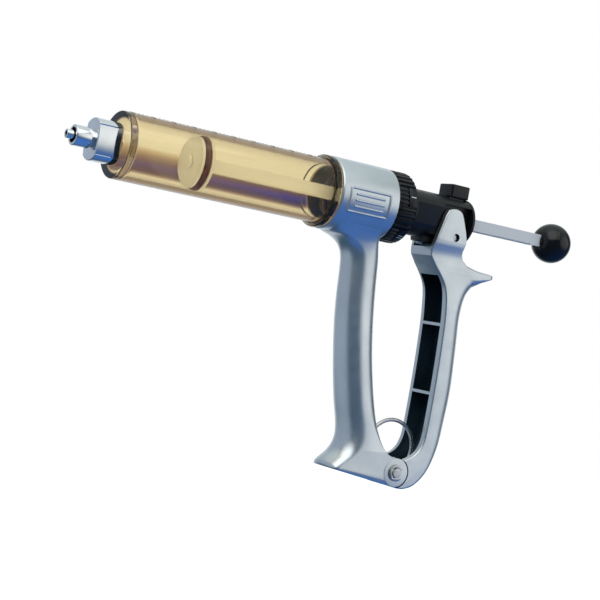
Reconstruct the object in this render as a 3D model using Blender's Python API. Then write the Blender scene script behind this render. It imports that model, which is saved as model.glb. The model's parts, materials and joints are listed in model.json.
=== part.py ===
"""Pistol-grip repeating syringe, 50 ml, as separate pieces that move on real joints.

All pieces are laid out in the syringe's own axes: X runs along the barrel from its front face
(nozzle towards -X), Z is up, and the barrel's axis is y = z = 0. The empty "barrel_face" carries
those axes into the part's frame, whose origin is the middle of the hand grip. Lengths are metres.
"""
import math

import bmesh
import bpy
from mathutils import Matrix, Vector

MM = 0.001
GAP = 0.3 * MM                      # clearance between pieces that rest on each other

# --- driving dimensions, in the syringe's axes ------------------------------------------------
GRIP_CENTRE = Vector((137 * MM, 0, -55 * MM))    # the part's origin

BORE_R = 12.5 * MM
BARREL_R = 15 * MM
BARREL_END = 115.7 * MM
FLANGE_X = (104.25 * MM, 107.5 * MM)
FLANGE_R = 17 * MM
FRONT_WALL = 4 * MM
STEM_HOLE_R = 4.3 * MM

COLLAR_X = (107.8 * MM, 139.75 * MM)
COLLAR_R = 17.2 * MM
SLEEVE_BORE_R = 11.7 * MM
SEAT_X = 117.2 * MM                 # shoulder that the barrel is clamped against

HINGE = Vector((168.8 * MM, 0, -123.9 * MM))
HINGE_BOSS_R = 7 * MM
HINGE_PIN_R = 2.3 * MM
HINGE_HALF_WIDTH = 10.2 * MM
TONGUE_HALF_WIDTH = 5 * MM

SPRING_CENTRE = Vector((169.8 * MM, 0, -112.4 * MM))
SPRING_R = 12.85 * MM
SPRING_WIRE_R = 0.95 * MM

DIAL_R = 17 * MM
DIAL_FRONT = COLLAR_X[1] + GAP
DIAL_REAR = 150.2 * MM
DIAL_BORE_R = 11.6 * MM
DOSES = 5

SLEEVE_R = 11.2 * MM
SLEEVE_X = (128.5 * MM, 187.1 * MM)
CAP_END = 189 * MM
ROD_WAY = (3.2 * MM, 3.3 * MM)      # half width and half height of the rod's passage
LEVER_PIN = Vector((180 * MM, 0, -8.4 * MM))
LEVER_PIN_R = 1.65 * MM
EAR_INNER = 7.2 * MM
CHEEK_HALF_WIDTH = 6.9 * MM         # housing between the lever's ears

YOKE_X = (173.6 * MM, 177.6 * MM)
BUTTON_X = (176 * MM, 186.8 * MM)
BUTTON_Z = (10.8 * MM, 17.2 * MM)
BUTTON_HALF_WIDTH = 5.3 * MM

ROD_HALF = (2.5 * MM, 2.95 * MM)    # half thickness and half height of the rack rod
ROD_X = (47 * MM, 243 * MM)
TOOTH_PITCH = 2.037 * MM            # one tooth for each millilitre
TOOTH_DEPTH = 0.7 * MM
TEETH_X = (64 * MM, 232 * MM)
PISTON_X = 36.5 * MM
BALL_CENTRE = Vector((246.1 * MM, 0, 0))
BALL_R = 9.93 * MM

METAL_CAST = ((0.62, 0.66, 0.70), 0.35, 0.9)
CHROME = ((0.80, 0.80, 0.80), 0.1, 1.0)
STEEL = ((0.55, 0.55, 0.56), 0.3, 1.0)
AMBER = ((0.75, 0.50, 0.22), 0.08, 0.0)
BLACK = ((0.02, 0.02, 0.022), 0.4, 0.0)
GLOSS_BLACK = ((0.012, 0.012, 0.014), 0.12, 0.0)
SEAL_RED = ((0.16, 0.05, 0.03), 0.5, 0.0)
PALE_GREY = ((0.72, 0.73, 0.74), 0.4, 0.0)


# --- scene and material helpers ---------------------------------------------------------------
def clear_scene():
    for obj in list(bpy.data.objects):
        bpy.data.objects.remove(obj, do_unlink=True)


def material(name, look):
    colour, roughness, metallic = look
    mat = bpy.data.materials.get(name) or bpy.data.materials.new(name)
    mat.use_nodes = True
    shader = mat.node_tree.nodes["Principled BSDF"]
    shader.inputs["Base Color"].default_value = (*colour, 1)
    shader.inputs["Roughness"].default_value = roughness
    shader.inputs["Metallic"].default_value = metallic
    return mat


def empty(name, at, parent=None, parent_at=Vector()):
    """An axis marker; `at` and `parent_at` are in the syringe's axes."""
    marker = bpy.data.objects.new(name, None)
    bpy.context.collection.objects.link(marker)
    marker.parent = parent
    marker.location = at - parent_at
    return marker


def mesh_object(name, bm):
    bmesh.ops.recalc_face_normals(bm, faces=bm.faces[:])
    mesh = bpy.data.meshes.new(name)
    bm.to_mesh(mesh)
    bm.free()
    obj = bpy.data.objects.new(name, mesh)
    bpy.context.collection.objects.link(obj)
    return obj


def piece(name, bm, look, carrier, sharp=35):
    """A sub-part: `carrier` is (empty, its place), and the piece's origin is put there."""
    marker, at = carrier
    bmesh.ops.translate(bm, vec=-at, verts=bm.verts[:])
    obj = mesh_object(name, bm)
    obj.parent = marker
    obj.data.shade_smooth()
    obj.data.set_sharp_from_angle(angle=math.radians(sharp))
    obj.data.materials.append(material(name + "_finish", look))
    return obj


def tool(name, bm, carrier):
    """A hidden shape that a Boolean modifier cuts with or adds."""
    obj = mesh_object(name, bm)
    obj.parent = carrier[0]
    obj.location = -carrier[1]
    obj.hide_render = True
    obj.display_type = "WIRE"
    return obj


def boolean(obj, operation, bm, carrier):
    step = obj.modifiers.new(operation.lower(), "BOOLEAN")
    step.operation = operation
    step.object = tool(f"{obj.name}_{operation.lower()}_{len(obj.modifiers)}", bm, carrier)


def cut(obj, carrier, *shapes):
    for bm in shapes:
        boolean(obj, "DIFFERENCE", bm, carrier)


def join(obj, carrier, *shapes):
    for bm in shapes:
        boolean(obj, "UNION", bm, carrier)


# --- shape helpers ----------------------------------------------------------------------------
def millimetres(points):
    return [tuple(value * MM for value in point) for point in points]


def smooth_curve(points, steps):
    """Catmull-Rom curve through the points, `steps` pieces between two of them."""
    padded = [points[0], *points, points[-1]]
    curve = []
    for before, start, end, after in zip(padded, padded[1:], padded[2:], padded[3:]):
        for k in range(steps):
            t = k / steps
            curve.append(tuple(
                0.5 * (2 * b + (c - a) * t + (2 * a - 5 * b + 4 * c - d) * t * t
                       + (3 * b - a - 3 * c + d) * t ** 3)
                for a, b, c, d in zip(before, start, end, after)))
    curve.append(tuple(points[-1]))
    return curve


def arc(centre, radius, start, end, count):
    """Points on an arc in the XZ plane, angles in degrees from +X towards +Z."""
    angles = (math.radians(start + (end - start) * k / count) for k in range(count + 1))
    return [(centre[0] + radius * math.cos(a), centre[1] + radius * math.sin(a)) for a in angles]


def loft(rings):
    """Skin over rings of equal length, with capped ends."""
    bm = bmesh.new()
    rows = [[bm.verts.new(p) for p in ring] for ring in rings]
    for row, following in zip(rows, rows[1:]):
        for k in range(len(row)):
            after = (k + 1) % len(row)
            bm.faces.new((row[k], row[after], following[after], following[k]))
    bm.faces.new(rows[0])
    bm.faces.new(rows[-1])
    return bm


def turned(profile, segments=40, axis="X", centre=(0, 0, 0), ripple=None):
    """A ring turned about an axis from a closed outline of (along, radius) points.

    `ripple(index, angle)` returns an offset (along, radius) for an outline point at an angle.
    A radius of zero closes the shape on the axis.
    """
    turn = {"X": Matrix.Identity(3), "Y": Matrix.Rotation(math.pi / 2, 3, "Z"),
            "Z": Matrix.Rotation(-math.pi / 2, 3, "Y")}[axis]
    bm = bmesh.new()
    rings = []
    for s in range(segments):
        angle = 2 * math.pi * s / segments
        ring = []
        for index, (along, radius) in enumerate(profile):
            shift = ripple(index, angle) if ripple else (0, 0)
            r = radius + shift[1]
            local = Vector((along + shift[0], r * math.cos(angle), r * math.sin(angle)))
            ring.append(bm.verts.new(turn @ local + Vector(centre)))
        rings.append(ring)
    for s, ring in enumerate(rings):
        following = rings[(s + 1) % segments]
        for k in range(len(profile)):
            after = (k + 1) % len(profile)
            if profile[k][1] == 0 and profile[after][1] == 0:
                continue
            bm.faces.new((ring[k], ring[after], following[after], following[k]))
    bmesh.ops.remove_doubles(bm, verts=bm.verts[:], dist=1e-7)
    bmesh.ops.dissolve_degenerate(bm, edges=bm.edges[:], dist=1e-7)
    return bm


def rod_shape(radius, start, end, axis="Y", centre=(0, 0, 0), segments=24):
    return turned([(start, 0), (start, radius), (end, radius), (end, 0)], segments, axis, centre)


def block(x, y, z):
    corners = [(x[0], y[0]), (x[1], y[0]), (x[1], y[1]), (x[0], y[1])]
    return loft([[(a, b, height) for a, b in corners] for height in z])


def plate(outline, y):
    """An XZ outline extruded along Y."""
    return loft([[(x, side, z) for x, z in outline] for side in y])


def rounded_plate(outline, radii, half_width, rings=3):
    """An XZ outline extruded along Y, with an edge radius of its own at each outline point."""
    count = len(outline)
    area = sum(a[0] * b[1] - b[0] * a[1] for a, b in zip(outline, outline[1:] + outline[:1]))
    turn = 1 if area > 0 else -1
    inward = []
    for k in range(count):
        before, after = Vector(outline[k - 1]), Vector(outline[(k + 1) % count])
        along = (after - before).normalized()
        inward.append(Vector((-along.y, along.x)) * turn)
    half = []
    for step in range(rings + 1):
        angle = math.pi / 2 * step / rings
        ring = []
        for point, normal, radius in zip(outline, inward, radii):
            at = Vector(point) + normal * radius * (1 - math.cos(angle))
            ring.append((at.x, half_width - radius * (1 - math.sin(angle)), at.y))
        half.append(ring)
    mirrored = [[(x, -y, z) for x, y, z in ring] for ring in reversed(half)]
    return loft(mirrored + half)


def tube(points, radius, sides=8):
    """A round wire through the points, with flat ends."""
    points = [Vector(p) for p in points]
    normal = (points[1] - points[0]).orthogonal().normalized()
    rings = []
    for k, point in enumerate(points):
        along = (points[min(k + 1, len(points) - 1)] - points[max(k - 1, 0)]).normalized()
        normal = (normal - along * normal.dot(along)).normalized()
        across = along.cross(normal)
        angles = (2 * math.pi * s / sides for s in range(sides))
        rings.append([point + radius * (normal * math.cos(a) + across * math.sin(a))
                      for a in angles])
    return loft(rings)


def coil(axis_point, direction, length, radius, wire_r, turns, per_turn=8):
    """A helical spring's wire along X or Z."""
    points = []
    for k in range(turns * per_turn + 1):
        angle = 2 * math.pi * k / per_turn
        along = length * k / (turns * per_turn)
        around = (radius * math.cos(angle), radius * math.sin(angle))
        local = (along, *around) if direction == "X" else (*around, along)
        points.append(Vector(axis_point) + Vector(local))
    return tube(points, wire_r, 5)


def split_ring(inner, outer, opening, count=20):
    """Outline of a ring with an opening (degrees) centred on its first axis."""
    start, end = opening / 2, 360 - opening / 2
    return arc((0, 0), outer, start, end, count) + arc((0, 0), inner, end, start, count)


# --- pieces fixed to the grip -----------------------------------------------------------------
# Grip sections from top to bottom: front point, rear point (x, z), half width, rear edge radius.
GRIP_SECTIONS = [
    ((109.2, -13.0), (139.4, -13.0), 11.0, 3.0),
    ((112.0, -17.6), (140.2, -17.6), 9.6, 4.8),
    ((120.4, -20.6), (141.7, -21.0), 8.3, 7.0),
    ((124.6, -27.0), (143.2, -26.5), 8.0, 8.6),
    ((125.5, -39.0), (144.2, -38.5), 8.2, 9.2),
    ((127.3, -55.0), (146.1, -54.5), 8.7, 9.2),
    ((130.0, -72.0), (149.0, -71.5), 9.2, 9.2),
    ((133.4, -87.5), (152.7, -87.5), 9.6, 9.0),
    ((137.7, -101.5), (156.8, -101.0), 9.9, 7.4),
    ((139.3, -109.0), (159.4, -108.4), 10.0, 4.5),
    ((138.8, -114.0), (163.0, -114.3), 10.1, 2.5),
    ((135.4, -119.6), (168.6, -117.6), 10.1, 1.4),
    ((132.0, -123.4), (172.0, -124.0), 10.1, 1.2),
    ((132.4, -125.6), (168.8, -130.8), 10.1, 1.2),
]
GRIP_FRONT_RADIUS = 8.6
FOOT_FRONT_RADIUS = 4.0
FOOT_START = 10                     # index of the first section of the flat-sided foot


def grip_section(front, rear, half_width, rear_radius, front_radius, per_corner=5):
    """Closed ring round a section whose front and rear edges are elliptical."""
    front, rear = Vector((front[0], 0, front[1])), Vector((rear[0], 0, rear[1]))
    across = (rear - front).normalized()
    ring = []
    for side in (1, -1):
        corners = ((front, across, front_radius), (rear, -across, rear_radius))
        for corner, inward, radius in corners[::side]:
            for k in range(per_corner + 1):
                share = k if (corner is front) == (side == 1) else per_corner - k
                angle = math.pi / 2 * share / per_corner
                if share == 0 and side == -1:
                    continue
                point = corner + inward * radius * (1 - math.cos(angle))
                ring.append(point + Vector((0, side * half_width * math.sin(angle), 0)))
    return ring


DETENT_AXIS = (0, 0, -15.8 * MM)


def build_casting(root):
    sections = []
    for index, (front, rear, half_width, rear_radius) in enumerate(GRIP_SECTIONS):
        front_radius = GRIP_FRONT_RADIUS if index < FOOT_START else FOOT_FRONT_RADIUS
        rows = millimetres([front, rear])
        sections.append(grip_section(*rows, half_width * MM, rear_radius * MM, front_radius * MM))
    casting = piece("frame_casting", loft(sections), METAL_CAST, root)

    edge = 0.8 * MM
    start, end = COLLAR_X
    collar = [(start, 0), (start, COLLAR_R - edge), (start + edge, COLLAR_R),
              (end - edge, COLLAR_R), (end, COLLAR_R - edge), (end, 0)]
    boss = rod_shape(HINGE_BOSS_R, -HINGE_HALF_WIDTH, HINGE_HALF_WIDTH, "Y", HINGE, 32)
    join(casting, root, turned(collar, 54), boss)

    outside = 12 * MM
    recess_x, groove_x, groove_r = 135.2 * MM, (136.6 * MM, 137.8 * MM), 14.6 * MM
    recess_r = 14.2 * MM
    bore = [(start - outside, 0), (start - outside, BARREL_R + GAP), (SEAT_X, BARREL_R + GAP),
            (SEAT_X, SLEEVE_BORE_R), (recess_x, SLEEVE_BORE_R), (recess_x, recess_r),
            (groove_x[0], recess_r), (groove_x[0], groove_r), (groove_x[1], groove_r),
            (groove_x[1], recess_r), (end + outside, recess_r), (end + outside, 0)]
    slot_depth = 7.6 * MM
    slot = rod_shape(slot_depth, -TONGUE_HALF_WIDTH - GAP, TONGUE_HALF_WIDTH + GAP, "Y", HINGE, 32)
    pin_hole = rod_shape(HINGE_PIN_R + GAP, -2 * HINGE_HALF_WIDTH, 2 * HINGE_HALF_WIDTH, "Y", HINGE)
    spring_pocket = block((154.3 * MM, 172 * MM), (-2.6 * MM, 2.6 * MM), (-119.5 * MM, -99 * MM))
    detent_hole = rod_shape(1.05 * MM, 133.6 * MM, 145 * MM, "X", DETENT_AXIS, 12)
    cut(casting, root, turned(bore, 46), slot, pin_hole, spring_pocket, detent_hole)


def build_barrel(root):
    start, end = FLANGE_X
    edge = 0.5 * MM
    profile = [(0, STEM_HOLE_R), (0, BARREL_R - edge), (edge, BARREL_R), (start, BARREL_R),
               (start, FLANGE_R - edge), (start + edge, FLANGE_R), (end - edge, FLANGE_R),
               (end, FLANGE_R - edge), (end, BARREL_R), (BARREL_END, BARREL_R),
               (BARREL_END, BORE_R), (FRONT_WALL, BORE_R), (FRONT_WALL, STEM_HOLE_R)]
    piece("barrel", turned(profile, 40), AMBER, root)
    gasket_x = (BARREL_END + GAP, SEAT_X - GAP)
    ring = [(gasket_x[0], BORE_R), (gasket_x[0], BARREL_R), (gasket_x[1], BARREL_R),
            (gasket_x[1], BORE_R)]
    piece("barrel_gasket", turned(ring, 32), SEAL_RED, root)


HUB_X = (-11.7 * MM, -GAP)
HUB_R = 9.5 * MM
WRENCH_FLAT = 6.9 * MM              # crowned wrench flats: distance of the crown from the axis
WRENCH_CROWN_R = 26 * MM
WRENCH_REACH = 15                   # degrees of the crown's arc to each side
WRENCH_CHAMFER = 0.4 * MM
GASKET_SEAT_X = -1.2 * MM           # floor of the recess for the gasket in the hub's rear face
GASKET_SEAT_R = 6.3 * MM
GASKET_R = 5.8 * MM
LOCK_X = (-20.4 * MM, -12.9 * MM)
LOCK_R = 4.6 * MM
TIP_X = -23.5 * MM


def build_nozzle(root):
    edge = 0.7 * MM
    stem_r, stem_end = STEM_HOLE_R - GAP, FRONT_WALL - GAP
    lock_bore, tip_bore, way_r, tip_seat = 3.4 * MM, 2.6 * MM, 1.3 * MM, -7 * MM
    lock_floor = -12.5 * MM
    profile = [(LOCK_X[0], lock_bore), (LOCK_X[0], LOCK_R - edge), (LOCK_X[0] + edge, LOCK_R),
               (LOCK_X[1], LOCK_R), (LOCK_X[1], 3.8 * MM), (HUB_X[0], 3.8 * MM),
               (HUB_X[0], HUB_R - edge), (HUB_X[0] + edge, HUB_R), (HUB_X[1], HUB_R),
               (HUB_X[1], GASKET_SEAT_R), (GASKET_SEAT_X, GASKET_SEAT_R),
               (GASKET_SEAT_X, stem_r), (stem_end, stem_r),
               (stem_end, way_r), (tip_seat, way_r), (tip_seat, tip_bore),
               (lock_floor, tip_bore), (lock_floor, lock_bore)]
    hub = piece("nozzle_hub", turned(profile, 36), CHROME, root)
    crown = arc((WRENCH_FLAT - WRENCH_CROWN_R, 0), WRENCH_CROWN_R, -WRENCH_REACH, WRENCH_REACH, 10)
    crown += [(2 * HUB_R, crown[-1][1]), (2 * HUB_R, crown[0][1])]
    stations = [(HUB_X[0] - edge, WRENCH_CHAMFER + edge), (HUB_X[0] + WRENCH_CHAMFER, 0),
                (HUB_X[1] + edge, 0)]
    for side in (-1, 1):
        cut(hub, root, loft([[(x, side * (y - deeper), z) for y, z in crown]
                             for x, deeper in stations]))

    cone = [(TIP_X, 1.1 * MM), (TIP_X, 1.75 * MM), (TIP_X + 0.3 * MM, 2 * MM),
            (lock_floor, 2.3 * MM), (tip_seat - GAP, 2.3 * MM), (tip_seat - GAP, 1.1 * MM)]
    piece("luer_cone", turned(cone, 24), CHROME, root)
    gasket = [(GASKET_SEAT_X + GAP, STEM_HOLE_R), (GASKET_SEAT_X + GAP, GASKET_R),
              (-GAP, GASKET_R), (-GAP, STEM_HOLE_R)]
    piece("nozzle_gasket", turned(gasket, 32), SEAL_RED, root)


CLIP_Y = (10.5 * MM, 11.1 * MM)


def build_hinge_hardware(root):
    half, groove_r = 11.6 * MM, 1.7 * MM
    inner, outer = CLIP_Y[0] - GAP, CLIP_Y[1] + 0.15 * MM
    profile = [(-half, 0), (-half, HINGE_PIN_R), (-outer, HINGE_PIN_R), (-outer, groove_r),
               (-inner, groove_r), (-inner, HINGE_PIN_R), (inner, HINGE_PIN_R),
               (inner, groove_r), (outer, groove_r), (outer, HINGE_PIN_R), (half, HINGE_PIN_R),
               (half, 0)]
    piece("hinge_pin", turned(profile, 24, "Y", HINGE), STEEL, root)
    outline = [(x + HINGE.x, z + HINGE.z) for x, z in split_ring(2 * MM, 4 * MM, 70)]
    for name, side in (("near", -1), ("far", 1)):
        piece(f"hinge_clip_{name}", plate(outline, (side * CLIP_Y[0], side * CLIP_Y[1])), STEEL, root)


def build_return_spring(root):
    centre = (SPRING_CENTRE.x, SPRING_CENTRE.z)
    points = [(x, 0, z) for x, z in arc(centre, SPRING_R, -20, 198, 26)]
    piece("return_spring", tube(points, SPRING_WIRE_R), STEEL, root)


def build_detent(root):
    ball_r = 0.8 * MM
    ball = bmesh.new()
    place = Matrix.Translation(Vector(DETENT_AXIS) + Vector((COLLAR_X[1] - ball_r, 0, 0)))
    bmesh.ops.create_uvsphere(ball, u_segments=12, v_segments=8, radius=ball_r, matrix=place)
    piece("detent_ball", ball, STEEL, root)
    start = Vector(DETENT_AXIS) + Vector((134 * MM, 0, 0))
    piece("detent_spring", coil(start, "X", 3.4 * MM, 0.6 * MM, 0.15 * MM, 4), STEEL, root)
    outline = split_ring(13.5 * MM, 14.3 * MM, 40, 24)
    ring_x = (136.9 * MM, 137.5 * MM)
    piece("dial_snap_ring", loft([[(x, y, z) for y, z in outline] for x in ring_x]), STEEL, root)


# --- dose dial --------------------------------------------------------------------------------
def build_dial(dial):
    spigot_r, groove_r, groove_x = 13.9 * MM, 13.2 * MM, (136.6 * MM, 137.8 * MM)
    spigot_start, pocket_x, pocket_r = 135.5 * MM, 142.2 * MM, 14 * MM
    split_x, edge, rib = 145.3 * MM, 0.4 * MM, 0.5 * MM
    profile = [(spigot_start, DIAL_BORE_R), (spigot_start, spigot_r), (groove_x[0], spigot_r),
               (groove_x[0], groove_r), (groove_x[1], groove_r), (groove_x[1], spigot_r),
               (DIAL_FRONT, spigot_r), (DIAL_FRONT, DIAL_R - edge), (DIAL_FRONT + edge, DIAL_R),
               (split_x - edge, DIAL_R), (split_x, DIAL_R - 2 * edge), (split_x + edge, DIAL_R),
               (DIAL_REAR - edge, DIAL_R), (DIAL_REAR, DIAL_R - edge), (DIAL_REAR, pocket_r),
               (pocket_x, pocket_r), (pocket_x, DIAL_BORE_R)]
    front_band, rear_band = (8, 9), (11, 12)
    segments = 60

    def ribs(index, angle):
        number = round(angle / (2 * math.pi) * segments)
        on_pad = number % (segments // DOSES) <= segments // DOSES // 2
        low = number % 2 == 1
        ribbed = index in front_band or (index in rear_band and not on_pad)
        return (0, -rib if ribbed and low else 0)

    piece("dose_dial", turned(profile, segments, ripple=ribs), BLACK, dial, 30)

    cam_x, cam_r, step = (142.5 * MM, 148.2 * MM), (11.7 * MM, 13.7 * MM), 0.8 * MM
    cam = [(cam_x[0], cam_r[0]), (cam_x[0], cam_r[1]), (cam_x[1], cam_r[1]), (cam_x[1], cam_r[0])]

    def steps(index, angle):
        number = int(angle / (2 * math.pi) * DOSES + 1e-6)
        return (-step * number if index >= 2 else 0, 0)

    piece("dose_cam", turned(cam, 40, ripple=steps), STEEL, dial, 30)

    cap = [(148.7 * MM, DIAL_BORE_R), (148.7 * MM, 13.7 * MM), (DIAL_REAR + GAP, 13.7 * MM),
           (DIAL_REAR + GAP, 15.9 * MM), (151.2 * MM, 14.6 * MM), (152.6 * MM, 12.1 * MM),
           (152.6 * MM, DIAL_BORE_R)]
    piece("dial_cap", turned(cap, 40), BLACK, dial)


# --- carriage that the lever pushes -----------------------------------------------------------
SPRING_HOLE = Vector((175.6 * MM, 0, 0))
SCREW_AT = Vector((166.2 * MM, 0, 0))


def build_carriage(carriage):
    edge = 0.6 * MM
    start, end = SLEEVE_X
    profile = [(start, 0), (start, SLEEVE_R - edge), (start + edge, SLEEVE_R), (end, SLEEVE_R),
               (end, 0)]
    housing = piece("carriage_housing", turned(profile, 48), BLACK, carriage)
    tongue = millimetres([(164, -8), (164, -12.2), (165, -13), (183, -13), (184, -12), (184, -8)])
    join(housing, carriage, plate(tongue, (-4.8 * MM, 4.8 * MM)))

    pocket = millimetres([(170.9, 6.6), (164.6, -12), (164.6, -20), (190, -20), (190, 6.6)])
    flat = millimetres([(154.5, 4.8), (154.5, -6.3), (190, -6.3), (190, 4.8)])
    far = 14 * MM
    for side in (-1, 1):
        cut(housing, carriage,
            plate(pocket, sorted((side * CHEEK_HALF_WIDTH, side * far))),
            plate(flat, sorted((side * 10.1 * MM, side * far))))
    width, height = ROD_WAY
    slot_y, foot_y, button_y = 5.6 * MM, 4.1 * MM, 5.6 * MM
    pocket_floor = 8.5 * MM
    cut(housing, carriage,
        block((start - far, end + far), (-width, width), (-height, height)),
        block((YOKE_X[0] - GAP, YOKE_X[1] + GAP), (-slot_y, slot_y), (-9.3 * MM, 8.4 * MM)),
        block((YOKE_X[0] - 2 * GAP, 185.4 * MM), (-foot_y, foot_y), (4.7 * MM, 8.6 * MM)),
        block((BUTTON_X[0] - GAP, end + far), (-button_y, button_y), (pocket_floor, 20 * MM)),
        rod_shape(1.9 * MM, -20 * MM, -9 * MM, "Z", SPRING_HOLE, 16),
        rod_shape(1.3 * MM, -20 * MM, -9 * MM, "Z", SCREW_AT, 12),
        block((LEVER_PIN.x - 1.95 * MM, LEVER_PIN.x + 1.95 * MM), (-far, far),
              (LEVER_PIN.z - 2.3 * MM, LEVER_PIN.z + 2.6 * MM)))

    cap = piece("carriage_cap", rod_shape(SLEEVE_R, end + GAP, CAP_END, "X", segments=48), BLACK,
                carriage)
    cut(cap, carriage, block((end - far, end + far), (-width, width), (-height, height)))
    piece("pawl_spring_plug", rod_shape(1.6 * MM, -13.9 * MM, -12.4 * MM, "Z", SPRING_HOLE, 16),
          STEEL, carriage)
    screw = [(-14.2 * MM, 0), (-14.2 * MM, 1.5 * MM), (-13.3 * MM, 1.9 * MM),
             (-13.3 * MM, 1 * MM), (-9.6 * MM, 1 * MM), (-9.6 * MM, 0)]
    piece("guide_screw", turned(screw, 16, "Z", SCREW_AT), STEEL, carriage)


# --- release button, yoke and pawl ------------------------------------------------------------
def build_release(release):
    width = BUTTON_HALF_WIDTH
    outline = [(BUTTON_X[0], BUTTON_Z[0]), (BUTTON_X[1], BUTTON_Z[0]),
               (BUTTON_X[1], BUTTON_Z[1]), (BUTTON_X[0], BUTTON_Z[1])]
    button = piece("release_button", plate(outline, (-width, width)), BLACK, release)
    stem = millimetres([(173.6, 6.7), (185, 6.7), (185, 12), (176.4, 12), (176.4, 8.2),
                        (173.6, 8.2)])
    join(button, release, plate(stem, (-3.8 * MM, 3.8 * MM)))
    soften = button.modifiers.new("rounded_edges", "BEVEL")
    soften.width = 0.5 * MM
    soften.segments = 2
    soften.limit_method = "ANGLE"

    yoke = block(YOKE_X, (-width, width), (-7.2 * MM, 6.4 * MM))
    frame = piece("pawl_yoke", yoke, BLACK, release)
    window = block((YOKE_X[0] - GAP, YOKE_X[1] + GAP), (-3 * MM, 3 * MM), (-5.5 * MM, 4.9 * MM))
    cut(frame, release, window)
    top, base = -ROD_HALF[1] - GAP, -5.2 * MM
    teeth = [(174 * MM, base), (177.2 * MM, base), (177.2 * MM, top - 0.6 * MM)]
    teeth += [(176.4 * MM, top), (175.6 * MM, top - 0.6 * MM), (174.8 * MM, top),
              (174 * MM, top - 0.6 * MM)]
    piece("pawl", plate(teeth, (-2.7 * MM, 2.7 * MM)), STEEL, release)
    foot = SPRING_HOLE + Vector((0, 0, -12 * MM))
    piece("pawl_spring", coil(foot, "Z", 4.2 * MM, 1.2 * MM, 0.25 * MM, 4), STEEL, release)


# --- squeeze lever ----------------------------------------------------------------------------
# Side outline as (x, z, edge radius) in millimetres, from the hinge up the front and down the rear.
LEVER_FRONT = [(173.0, -117.4, 0.8), (178.4, -114.0, 0.8), (181.4, -109.0, 0.9),
               (182.3, -101.0, 1.0), (182.5, -80.0, 1.0), (182.0, -58.0, 1.0),
               (181.0, -43.4, 1.0), (178.4, -32.0, 1.0), (171.2, -23.0, 1.0)]
EAR_FRONT = [(168.2, -19.0, 0.8), (167.9, -16.0, 0.8), (169.4, -9.4, 0.8), (172.0, 1.0, 0.8)]
EAR_TOP = [(173.4, 4.0, 0.8), (176.9, 5.1, 0.8), (180.6, 4.5, 0.8), (183.0, 1.3, 0.8),
           (186.6, -8.2, 0.8), (186.3, -14.6, 1.0), (187.7, -18.2, 1.2)]
HORN = [(191.0, -20.5, 1.4), (198.0, -21.9, 1.2), (204.6, -22.4, 0.8), (207.9, -23.0, 0.5),
        (207.9, -24.0, 0.5), (205.0, -25.4, 0.8), (201.2, -27.3, 2.4)]
LEVER_REAR = [(197.4, -30.6, 6.5), (195.1, -36.0, 8.3), (194.2, -45.5, 8.8),
              (195.3, -61.0, 8.8), (196.3, -80.5, 8.6), (195.4, -96.0, 8.0),
              (193.1, -110.4, 6.0), (187.9, -121.8, 3.2), (181.5, -128.6, 1.7),
              (175.6, -131.1, 1.0), (171.3, -131.3, 0.8)]
CHANNEL_X = 160 * MM
CHANNEL_HALF_WIDTH = 7.2 * MM
# Channel floor (x, z) behind each of the three bays between the ribs.
CHANNEL_BAYS = [
    [(184.0, -27.5), (189.2, -33.0), (189.5, -49.9)],
    [(189.6, -51.3), (190.6, -67.0), (191.3, -83.3)],
    [(191.3, -84.7), (190.6, -97.0), (188.9, -109.5), (184.4, -119.5)],
]
LEVER_PIN_Y = (-8.8 * MM, 8.8 * MM)
SADDLE_TOP = -14.9 * MM             # floor of the fork between the ears


def horn_trim():
    """Outside of the horn's rounded plan, as a ring of waste cut from it."""
    reach, width, power = 19.2 * MM, 10.25 * MM, 4
    start, clear = 190 * MM, 13 * MM
    outline = []
    for k in range(17):
        angle = math.pi * (k / 16 - 0.5)
        along = abs(math.cos(angle)) ** (2 / power)
        across = math.copysign(abs(math.sin(angle)) ** (2 / power), angle)
        outline.append((start + reach * along, width * across))
    outline += [(start, clear), (start + 2 * reach, clear), (start + 2 * reach, -clear),
                (start, -clear)]
    return loft([[(x, y, z) for x, y in outline] for z in (-27.6 * MM, -17.5 * MM)])


# Half width of the lever by height (z, half width), top down: the fork narrows below the pin.
WAIST = [(-10.4, 10.2), (-12.4, 9.95), (-14.2, 9.45), (-16.0, 8.95), (-17.8, 8.65), (-20.0, 8.6),
         (-24.0, 8.85), (-30.0, 9.45), (-37.0, 10.0), (-43.0, 10.2)]


def narrow(bm):
    """Cuts the side faces at each height of WAIST and moves them to its half width."""
    curve = millimetres(WAIST)
    for z, _ in curve:
        bmesh.ops.bisect_plane(bm, geom=bm.verts[:] + bm.edges[:] + bm.faces[:],
                               plane_co=(0, 0, z), plane_no=(0, 0, 1))
    for vert in bm.verts:
        for (high, wide), (low, narrower) in zip(curve, curve[1:]):
            if low <= vert.co.z <= high:
                share = (high - vert.co.z) / (high - low)
                vert.co.y *= (wide + (narrower - wide) * share) / HINGE_HALF_WIDTH
                break


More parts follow.
